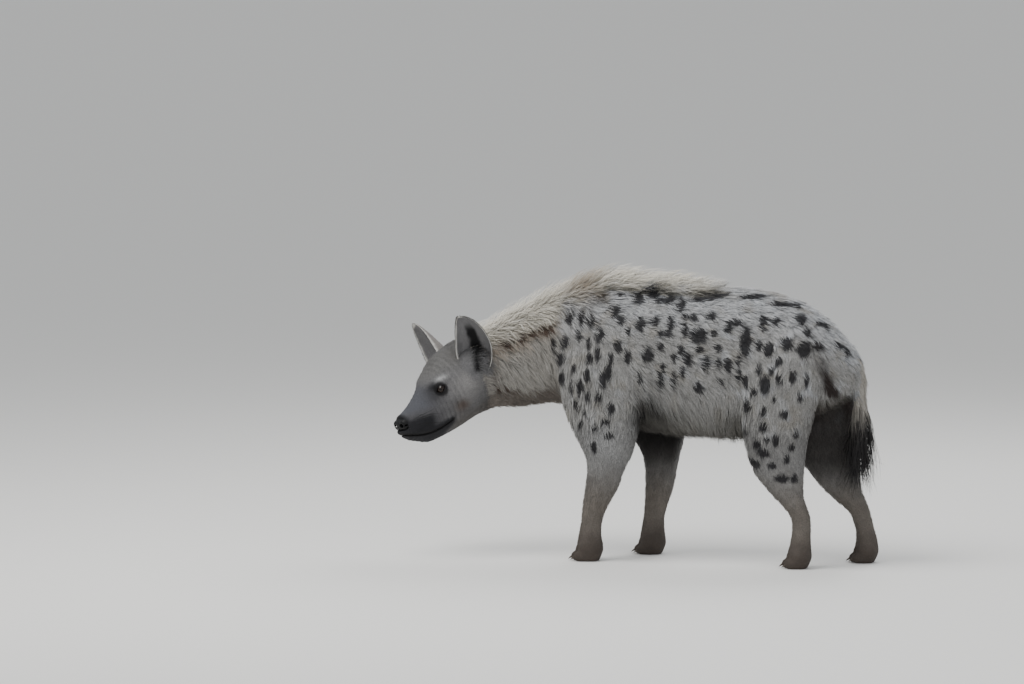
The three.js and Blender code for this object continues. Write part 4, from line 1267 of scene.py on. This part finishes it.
def addClaws(paw):
    points, faces = [], []
    rings, sides = clawSize["rings"], clawSize["sides"]
    nodes = [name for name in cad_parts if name.startswith(paw + "_claw")]
    for node in nodes:
        low, high = (np.array(corner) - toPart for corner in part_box(node))
        middle, half = (low + high) / 2, (high - low) / 2
        start = len(points)
        long = (high[1] - low[1]) * clawSize["reach"] + clawSize["root"]
        top, drop = high[2] - half[2] * clawSize["below"], high[2] - low[2] - half[2] * clawSize["drop"]
        for i in range(rings):
            t = i / (rings - 1)
            centre = np.array([
                middle[0], high[1] + clawSize["root"] - long * t, top - drop * t ** clawSize["curl"],
            ])
            size = half[[0, 2]] * clawSize["thick"] * (1 - clawSize["taper"] * t ** clawSize["tip"])
            for k in range(sides):
                turn = 2 * math.pi * k / sides
                points.append(centre + (math.cos(turn) * size[0], 0, math.sin(turn) * size[1]))
        last = start + (rings - 1) * sides
        faces += [tuple(start + k for k in range(sides)), tuple(last + k for k in range(sides))[::-1]]
        for i in range(rings - 1):
            for k in range(sides):
                a, b = start + i * sides + k, start + i * sides + (k + 1) % sides
                faces.append((a, a + sides, b + sides, b))
    points = np.array(points)
    points[:, 2] = np.maximum(points[:, 2], clawSize["lowest"])
    mesh = facedOut(meshFrom(paw + "_claws", points, faces))
    addPiece(paw + "_claws", mesh, clawMaterial, nodes)


for paw in ("front_left", "front_right", "hind_left", "hind_right"):
    addClaws(paw)
print("nose, eyes and claws made")

# A tuft: widths of its rings by their number, corners of a ring, the side of its patch on the UV map, and
# the lowest height that it may reach
tuft = {
    "widths": {1: [1.0], 2: [0.85, 0.9], 3: [0.8, 1.0, 0.68]}, "corners": ((-1, -0.28), (1, -0.28), (0, 0.55)),
    "patch": 0.003, "lowest": 0.0004,
}


# Tapered tufts that leave their roots, bend over and lie along the body, as one closed mesh
def hairMesh(name, hair, rings):
    number = len(hair["root"])
    along = hair["lie"]
    out = hair["out"]
    across = unit(np.cross(along, out), 1e-9)
    long = hair["length"][:, None]
    rise = (hair["lift"] * hair["length"] + hair["sink"])[:, None]
    steps = np.linspace(0, 1, rings + 1)[:-1]
    spread = tuft["widths"][rings]

    def centre(t):
        path = hair["root"] - out * hair["sink"][:, None]
        path = path + out * rise * (1 - (1 - t) ** 2) + along * long * (0.35 * t + 0.65 * t * t)
        path = path + across * long * hair["sway"][:, None] * t * t + hair["pull"] * t * t
        path[:, 2] -= (hair["droop"] * hair["length"]) * t * t
        return path

    points = np.zeros((number, 3 * rings + 1, 3))
    normals = np.zeros_like(points)
    for i, t in enumerate(steps):
        flat = np.cross(across, unit(centre(t + 0.05) - centre(t)))
        half = hair["width"][:, None] * spread[i] / 2
        for k, (a, b) in enumerate(tuft["corners"]):
            step = across * a * half + flat * b * half
            points[:, 3 * i + k] = centre(t) + step
            normals[:, 3 * i + k] = out * 0.75 + unit(step) * 0.45
    points[:, -1] = centre(1.0)
    points[:, :, 2] = np.maximum(points[:, :, 2], tuft["lowest"])
    normals[:, -1] = out
    normals = unit(normals)
    faces = [(0, 1, 2)]
    for i in range(rings - 1):
        for k in range(3):
            a, b = 3 * i + k, 3 * i + (k + 1) % 3
            faces += [(b, a, a + 3), (b, a + 3, b + 3)]
    last = 3 * rings
    faces += [(last - 3 + (k + 1) % 3, last - 3 + k, last) for k in range(3)]
    faces = np.array(faces)
    every = (faces[None] + (np.arange(number) * (3 * rings + 1))[:, None, None]).reshape(-1, 3)
    mesh = bpy.data.meshes.new(name)
    mesh.vertices.add(number * (3 * rings + 1))
    mesh.vertices.foreach_set("co", points.astype(np.float32).ravel())
    mesh.loops.add(len(every) * 3)
    mesh.loops.foreach_set("vertex_index", every.astype(np.int32).ravel())
    mesh.polygons.add(len(every))
    mesh.polygons.foreach_set("loop_start", (np.arange(len(every)) * 3).astype(np.int32))
    mesh.polygons.foreach_set("use_smooth", np.ones(len(every), bool))
    mesh.update(calc_edges=True)
    # root darker than tip, and some tips pale
    levels = np.array(np.repeat(steps, 3).tolist() + [1.0])
    tone = 0.62 + 0.44 * levels**0.8
    share = (levels**1.4)[None, :, None]
    colours = hair["colour"][:, None, :] * (1 - share) + hair["tip"][:, None, :] * share
    paint(mesh, "coatColour", (colours * tone[None, :, None]).reshape(-1, 3))
    layer = mesh.uv_layers.new(name="OFBake")
    patch = np.zeros((3 * rings + 1, 2))
    patch[:-1, 0] = np.tile([-tuft["patch"] / 2, tuft["patch"] / 2, 0.0], rings)
    patch[:, 1] = (levels - 0.5) * tuft["patch"]
    uv = hair["uv"][:, None, :] + patch[None]
    layer.data.foreach_set("uv", uv.reshape(-1, 2)[every.ravel()].astype(np.float32).ravel())
    mesh.normals_split_custom_set_from_vertices(normals.reshape(-1, 3).tolist())
    return mesh


# Roots spread evenly over the chosen faces of the skin
def roots(chosen, spacing, seed):
    rng = np.random.default_rng(seed)
    faces = skinFaces[chosen]
    a, b, c = (skinPoints[faces[:, k]] for k in range(3))
    area = np.linalg.norm(np.cross(b - a, c - a), axis=1) / 2
    number = int(area.sum() / (0.3 * spacing**2))
    picked = rng.choice(len(faces), number, p=area / area.sum())
    u, v = rng.random(number), rng.random(number)
    over = u + v > 1
    u[over], v[over] = 1 - u[over], 1 - v[over]
    weights = np.stack([1 - u - v, u, v], 1)
    corner = faces[picked]
    points = (skinPoints[corner] * weights[:, :, None]).sum(1)
    cell = spacing * 1.2
    keys = np.floor(points / cell).astype(np.int64)
    keys = (keys[:, 0] * 73856093) ^ (keys[:, 1] * 19349663) ^ (keys[:, 2] * 83492791)
    first = np.unique(keys, return_index=True)[1]
    points, weights, corner = points[first], weights[first], corner[first]
    out = unit((skinNormals[corner] * weights[:, :, None]).sum(1))
    lie = (skinLie[corner] * weights[:, :, None]).sum(1)
    where = {key: skinWhere[key][corner[:, 0]] for key in skinWhere}
    return {"root": points, "out": out, "lie": flattened(lie, out), "where": where, "rng": rng}


def flattened(lie, out):
    return unit(lie - (lie * out).sum(1)[:, None] * out, 1e-9)


# Turns the lie a little one way and the other from place to place, as in a real coat
def ruffled(found, amount):
    turn = amount * (0.75 * unevenness(found["root"], 0.07, 1) + 0.6 * unevenness(found["root"] + 5, 0.018, 1))
    side = np.cross(found["out"], found["lie"])
    return found["lie"] * np.cos(turn)[:, None] + side * np.sin(turn)[:, None]


# Tips of neighbours lean together, towards one of them: its share of the hairs in a clump of size one, and
# the furthest that a tip is drawn, in metres
clumping = {"share": 0.3, "most": 0.014}


def clumped(points, out, size, strength, rng):
    count = max(int(len(points) * min(1, clumping["share"] / size)), 1)
    centres = points[rng.choice(len(points), count, replace=False)]
    pull = (centres[nearestOf(centres, points)] - points) * strength
    length = np.linalg.norm(pull, axis=1)[:, None]
    pull *= np.minimum(1, clumping["most"] / np.maximum(length, 1e-9))
    return pull - (pull * out).sum(1)[:, None] * out


# The root's place on an unwrap of the body: along the part and round it, with a strip for each part
def unwrapped(where, low, high, strips):
    u = (where["along"] - low[0]) / (high[0] - low[0])
    v = ((where["angle"] - low[1]) % (2 * math.pi)) / (high[1] - low[1])
    strip = np.zeros(len(u))
    for number, name in enumerate(strips):
        strip[where["part"] == partNames.index(name)] = number
    u = (strip + 0.01 + 0.98 * np.clip(u, 0, 1)) / len(strips)
    return np.stack([0.01 + 0.98 * u, 0.02 + 0.96 * np.clip(v, 0, 1)], 1)


faceCentre = skinPoints[skinFaces].mean(1)
faceWhere = {key: skinWhere[key][skinFaces[:, 0]] for key in skinWhere}
faceSide = onHeadSide(faceCentre)


def onPart(*names):
    return np.isin(faceWhere["part"], [partNames.index(name) for name in names])


# Where the coat hangs in long loose strands: behind the elbow, before the thigh, along the belly and on the
# chest; place, reach and how loose
looseHair = [
    ((0, -105, 468), (1, 75, 60), 1.0), ((0, 120, 455), (1, 70, 70), 0.9),
    ((0, 20, 430), (1, 110, 45), 0.8), ((0, -300, 470), (1, 60, 80), 0.7),
]


def shaggy(points):
    y, z = points[:, 1] / mm, points[:, 2] / mm
    return np.clip(sum(share * bump(0, y, z, place, reach) for place, reach, share in looseHair), 0, 1)


# Sizes of the hair over the body, in millimetres: length, width, how far it stands out and hangs
def trunkHair(found):
    high = np.sin(found["where"]["angle"])
    loose = shaggy(found["root"])
    length = 23 + 6 * smoothStep(0.5, 0.9, high) + 20 * loose + 8 * smoothStep(-0.6, -1.0, high)
    under = smoothStep(-0.7, -1.0, high)
    return length, 2.4 - 0.4 * loose, 0.22 + 0.06 * loose + 0.1 * under, 0.25 * loose + 0.2 * under


def neckHair(found):
    high = np.sin(found["where"]["angle"])
    length = 34 - 20 * smoothStep(-0.1, -0.7, high) - 8 * smoothStep(0.8, 1.0, found["where"]["along"])
    return length, 2.3, 0.22, 0.1 + 0.25 * smoothStep(0.4, -0.2, high)


def legHair(found):
    z = found["root"][:, 2] / mm
    loose = shaggy(found["root"]) * smoothStep(330, 400, z)
    length = 3.4 + 1.6 * smoothStep(25, 70, z) + 6 * smoothStep(60, 200, z)
    length = length + 10 * smoothStep(250, 420, z) + 16 * loose
    width = 1.5 + 0.9 * smoothStep(120, 400, z)
    return length, width, 0.2 - 0.1 * smoothStep(60, 20, z), 0.2 * loose


def headHair(found):
    x = toHead(found["root"])[:, 0] / mm
    length = 3.6 + 4.5 * smoothStep(60, 180, x) + 15 * smoothStep(215, 310, x)
    width = 0.95 + 1.05 * smoothStep(80, 280, x)
    return length, width, 0.18, 0.0


def tailHair(found):
    along = found["where"]["along"]
    return 28 + 92 * smoothStep(0.45, 0.75, along), 2.0, 0.2, 0.1


# A usual coat: how far the tips sway, how much lengths vary, how many tips are pale, how large the clumps
# are, what share of the way tips lean in them and at what length in full, how much the lie turns, how deep
# the roots sit, and what part of the unwrap it spans
usualCoat = {
    "sway": 0.12, "vary": 0.28, "pale": 0.25, "clump": 9, "gather": 0.55, "leaning": 24, "ruffle": 0.45,
    "sink": 1.2, "span": ((0, -math.pi), (1, math.pi)),
}


def grow(name, chosen, spacing, sizes, rings, seed, look, strips, **changes):
    coat = {**usualCoat, **changes}
    material, materialSlot = look
    found = roots(chosen, spacing * mm, seed)
    rng = found["rng"]
    number = len(found["root"])
    length, width, lift, droop = sizes(found)
    spread = lambda share: 1 + share * rng.uniform(-1, 1, number)
    found["lie"] = ruffled(found, coat["ruffle"])
    # what shows is the outer half of each hair, so it takes the colour of the place that it covers
    shown = found["root"] + found["lie"] * (0.5 * length * mm)[:, None]
    colour = coatColours(shown, found["where"]) * spread(0.16)[:, None]
    palest = (rng.random(number) < coat["pale"]) * rng.uniform(0.25, 0.6, number)
    palest *= np.clip(colour.mean(1) / 0.15, 0.25, 1)
    tip = colour + (shades["pale"] * colour.mean(1)[:, None] * 2.2 - colour) * palest[:, None]
    hair = {
        "root": found["root"], "out": found["out"], "lie": found["lie"], "colour": colour, "tip": tip,
        "length": length * mm * spread(coat["vary"]), "width": width * mm * spread(0.25),
        "lift": lift * spread(0.4), "sway": rng.normal(0, coat["sway"], number),
        "droop": droop * np.ones(number), "sink": np.full(number, coat["sink"] * mm),
        "uv": unwrapped(found["where"], *coat["span"], strips),
    }
    # short hair leans less, or it would part and bare the skin
    leaning = np.minimum(1, length / coat["leaning"]) * np.ones(number)
    pull = clumped(found["root"], found["out"], coat["clump"], coat["gather"], rng)
    hair["pull"] = pull * leaning[:, None]
    mesh = hairMesh(name, hair, rings)
    addPiece(name, mesh, material)
    print(name + ":", number, "tufts,", len(mesh.polygons), "triangles")


high = np.sin(faceWhere["angle"])
leftSide = np.cos(faceWhere["angle"]) > 0
notEyes = np.linalg.norm(faceSide - eye["place"], axis=1) > 15.5
notMouth = (abs(faceSide[:, 2] - mouthHeight(faceSide[:, 0])) > 2.2) | (faceSide[:, 0] > 153)
furry = notEyes & notMouth & (faceSide[:, 0] > 19)
frontHalf = faceWhere["along"] < 0.5
quarter = math.pi / 2
furLook, maneLook = (coatMaterial, "coat"), (maneMaterial, "mane")
legLook, faceLook, tuftLook = (coatMaterial, "leg"), (coatMaterial, "face"), (tuftMaterial, "tuft")

for side, sideFaces, start, seed in (("left", leftSide, -quarter, 11), ("right", ~leftSide, quarter, 31)):
    for place, places, ends in (("front", frontHalf, (0, 0.5)), ("rear", ~frontHalf, (0.5, 1))):
        grow(
            f"coat_{place}_{side}", onPart("trunk") & sideFaces & places, 2.9, trunkHair, 2,
            seed + int(ends[0] * 2), furLook, ["trunk"],
            span=((ends[0], start), (ends[1], start + math.pi)),
        )
grow("coat_neck", onPart("neck"), 3.5, neckHair, 2, 13, furLook, ["neck"])
grow("coat_forelegs", onPart("foreLeft", "foreRight"), 3.9, legHair, 2, 14, legLook, ["foreLeft", "foreRight"])
grow("coat_hindlegs", onPart("hindLeft", "hindRight"), 4.1, legHair, 2, 15, legLook, ["hindLeft", "hindRight"])
grow("coat_head", onPart("head") & furry, 2.4, headHair, 1, 16, faceLook, ["head"], clump=6, ruffle=0.25)
grow("coat_tail", onPart("tail"), 3.2, tailHair, 3, 17, tuftLook, ["tail"], pale=0.1)


# The mane: long fluffy hair that stands up from neck and withers and leans back
def maneHair(found):
    onTrunk = found["where"]["part"] == partNames.index("trunk")
    along = found["where"]["along"]
    place = np.where(onTrunk, 1 + along / 0.5, 1 - along)
    high = np.sin(found["where"]["angle"])
    length = np.interp(place, (0, 0.5, 1, 1.4, 1.8, 2), (46, 56, 60, 60, 50, 30)) * smoothStep(0.6, 0.92, high)
    return np.maximum(length, 22), 1.9, 0.3 + 0.3 * smoothStep(0.8, 1, high), 0.0


onMane = (
    (onPart("neck") & (high > 0.66))
    | (onPart("trunk") & (high > 0.935) & (faceWhere["along"] < 0.5))
)
grow(
    "mane", onMane, 3.0, maneHair, 3, 18, maneLook, ["trunk", "neck"],
    vary=0.4, sway=0.24, pale=0.4, clump=12, gather=0.35,
)


# Short hair on both sides of the ears, longer along their edges
def addEarHair():
    rng = np.random.default_rng(21)
    sets = []
    for sign in (1, -1):
        for inner, count in ((0.0, 3600), (1.0, 3600)):
            along, round = rng.uniform(0.02, 0.985, count), rng.uniform(-1, 1, count)
            sets.append((sign, along, round, np.full(count, inner)))
        # the fringe of the rim
        count = 1500
        along = 1 - rng.uniform(0, 1, count) ** 1.3 * 0.96
        round = rng.choice([-1.0, 1.0], count) * rng.uniform(0.95, 1.0, count)
        sets.append((sign, along, round, np.zeros(count)))
    fields = {key: [] for key in ("root", "out", "lie", "colour", "tip", "length", "uv", "pull")}
    for sign, along, round, inner in sets:
        isInner = inner > 0.5
        root = earPlaces(along, round, isInner, sign)
        deeper = earPlaces(along, round, isInner, sign, push=1.0)
        ahead = earPlaces(np.minimum(along + 0.02, 1.0), round, isInner, sign)
        beside = earPlaces(along, round + 0.02, isInner, sign)
        out = unit((deeper - root) * np.where(isInner, -1, 1)[:, None])
        lie = flattened(ahead - root, out)
        outward = flattened((beside - root) * np.sign(round)[:, None], out)
        edge = smoothStep(0.6, 1.0, abs(round))
        lie = flattened(lie + outward * (0.9 * edge)[:, None] * np.where(isInner, -0.6, 1)[:, None], out)
        colour = earColours(root, along, round, inner)
        slot = np.exp(-(((round - ear["slot"][0] - ear["slot"][1] * along) / 0.26) ** 2)) * (along < 0.8)
        length = np.where(isInner, 5 + 8 * abs(round) * smoothStep(0.7, 0.2, along), 4.2)
        length = length * (1 - 0.5 * slot * isInner)
        strip = (0 if sign > 0 else 1) + 0.5 * isInner
        fields["root"].append(root)
        fields["out"].append(out)
        fields["lie"].append(lie)
        fields["colour"].append(colour * rng.uniform(0.85, 1.15, len(along))[:, None])
        fields["tip"].append(colour * 1.1)
        fields["length"].append(length * rng.uniform(0.7, 1.3, len(along)) * mm)
        fields["uv"].append(np.stack([(strip + 0.02 + 0.46 * along) / 2, 0.02 + 0.48 * (round + 1)], 1))
        fields["pull"].append(np.zeros_like(root))
    hair = {key: np.concatenate(value) for key, value in fields.items()}
    number = len(hair["root"])
    hair["width"] = rng.uniform(0.9, 1.5, number) * mm
    hair["lift"] = rng.uniform(0.12, 0.3, number)
    hair["sway"] = rng.normal(0, 0.15, number)
    hair["droop"] = np.zeros(number)
    hair["sink"] = np.full(number, 0.8 * mm)
    addPiece("coat_ears", hairMesh("coat_ears", hair, 1), coatMaterial)
    print("coat_ears:", number, "tufts")


addEarHair()


# Whiskers: single dark bristles in rows on the upper lip, lying back
def addWhiskers():
    x, up = faceSide[:, 0], faceSide[:, 2]
    bed = (x > 30) & (x < 76) & (up > -22) & (up < 14) & onPart("head")
    found = roots(bed, 8.5 * mm, 23)
    rng = found["rng"]
    number = len(found["root"])
    dark = np.tile(linear("#0c0b0b"), (number, 1))
    hair = {
        **{key: found[key] for key in ("root", "out", "lie")}, "colour": dark, "tip": dark * 2,
        "length": rng.uniform(38, 62, number) * mm, "width": rng.uniform(0.5, 0.7, number) * mm,
        "lift": rng.uniform(0.35, 0.6, number), "sway": rng.normal(0, 0.1, number),
        "droop": rng.uniform(0.1, 0.35, number), "pull": np.zeros((number, 3)),
        "sink": np.full(number, 1.5 * mm), "uv": unwrapped(found["where"], *usualCoat["span"], ["head"]),
    }
    addPiece("whiskers", hairMesh("whiskers", hair, 3), tuftMaterial)
    print("whiskers:", number)


addWhiskers()


# Floor, light and camera
def addCamera():
    camera = bpy.data.cameras.new("camera")
    camera.sensor_width = 36
    camera.lens = 36 * view["pixelsPerMetre"] * view["distance"] / photoSize[0]
    camera.clip_end = 2000
    holder = addObject("camera", camera)
    holder.location = Vector(viewPlace + toPart)
    holder.rotation_euler = Vector(viewBack).to_track_quat("Z", "Y").to_euler()
    bpy.context.scene.camera = holder


addCamera()


def addLight(name, place, size, power, colour):
    lamp = bpy.data.lights.new(name, "AREA")
    lamp.shape = "DISK"
    lamp.size = size
    lamp.energy = power
    lamp.color = colour
    holder = addObject(name, lamp)
    holder.location = Vector(place)
    aim = Vector((0, 0, 0.4)) - Vector(place)
    holder.rotation_euler = aim.to_track_quat("-Z", "Y").to_euler()


addLight("key", (1.6, -1.4, 4.0), 3.0, 150, (1.0, 0.99, 0.97))
addLight("fill", (2.6, 2.6, 1.8), 3.0, 26, (0.95, 0.97, 1.0))
addLight("back", (-2.6, 0.6, 3.4), 2.5, 60, (1.0, 1.0, 1.0))
world = bpy.data.worlds.new("studio")
bpy.context.scene.world = world
world.use_nodes = True
sky = world.node_tree.nodes["Background"].inputs
sky["Color"].default_value = (0.88, 0.9, 0.92, 1)
sky["Strength"].default_value = 0.72

# Floor: matt painted board, which takes soft shadows and has no shine
floorSize = {"radius": 300, "corners": 64, "colour": "#e9e8e5"}


def addFloor():
    rim = np.linspace(0, 2 * math.pi, floorSize["corners"], endpoint=False)
    points = [(floorSize["radius"] * math.cos(a), floorSize["radius"] * math.sin(a), 0) for a in rim]
    mesh = bpy.data.meshes.new("floor")
    mesh.from_pydata(points, [], [list(range(len(points)))])
    material, _, shader = newMaterial("matt studio floor")
    shader.inputs["Base Color"].default_value = (*linear(floorSize["colour"]), 1)
    shader.inputs["Roughness"].default_value = 0.9
    mesh.materials.append(material)
    addObject("floor", mesh)


addFloor()
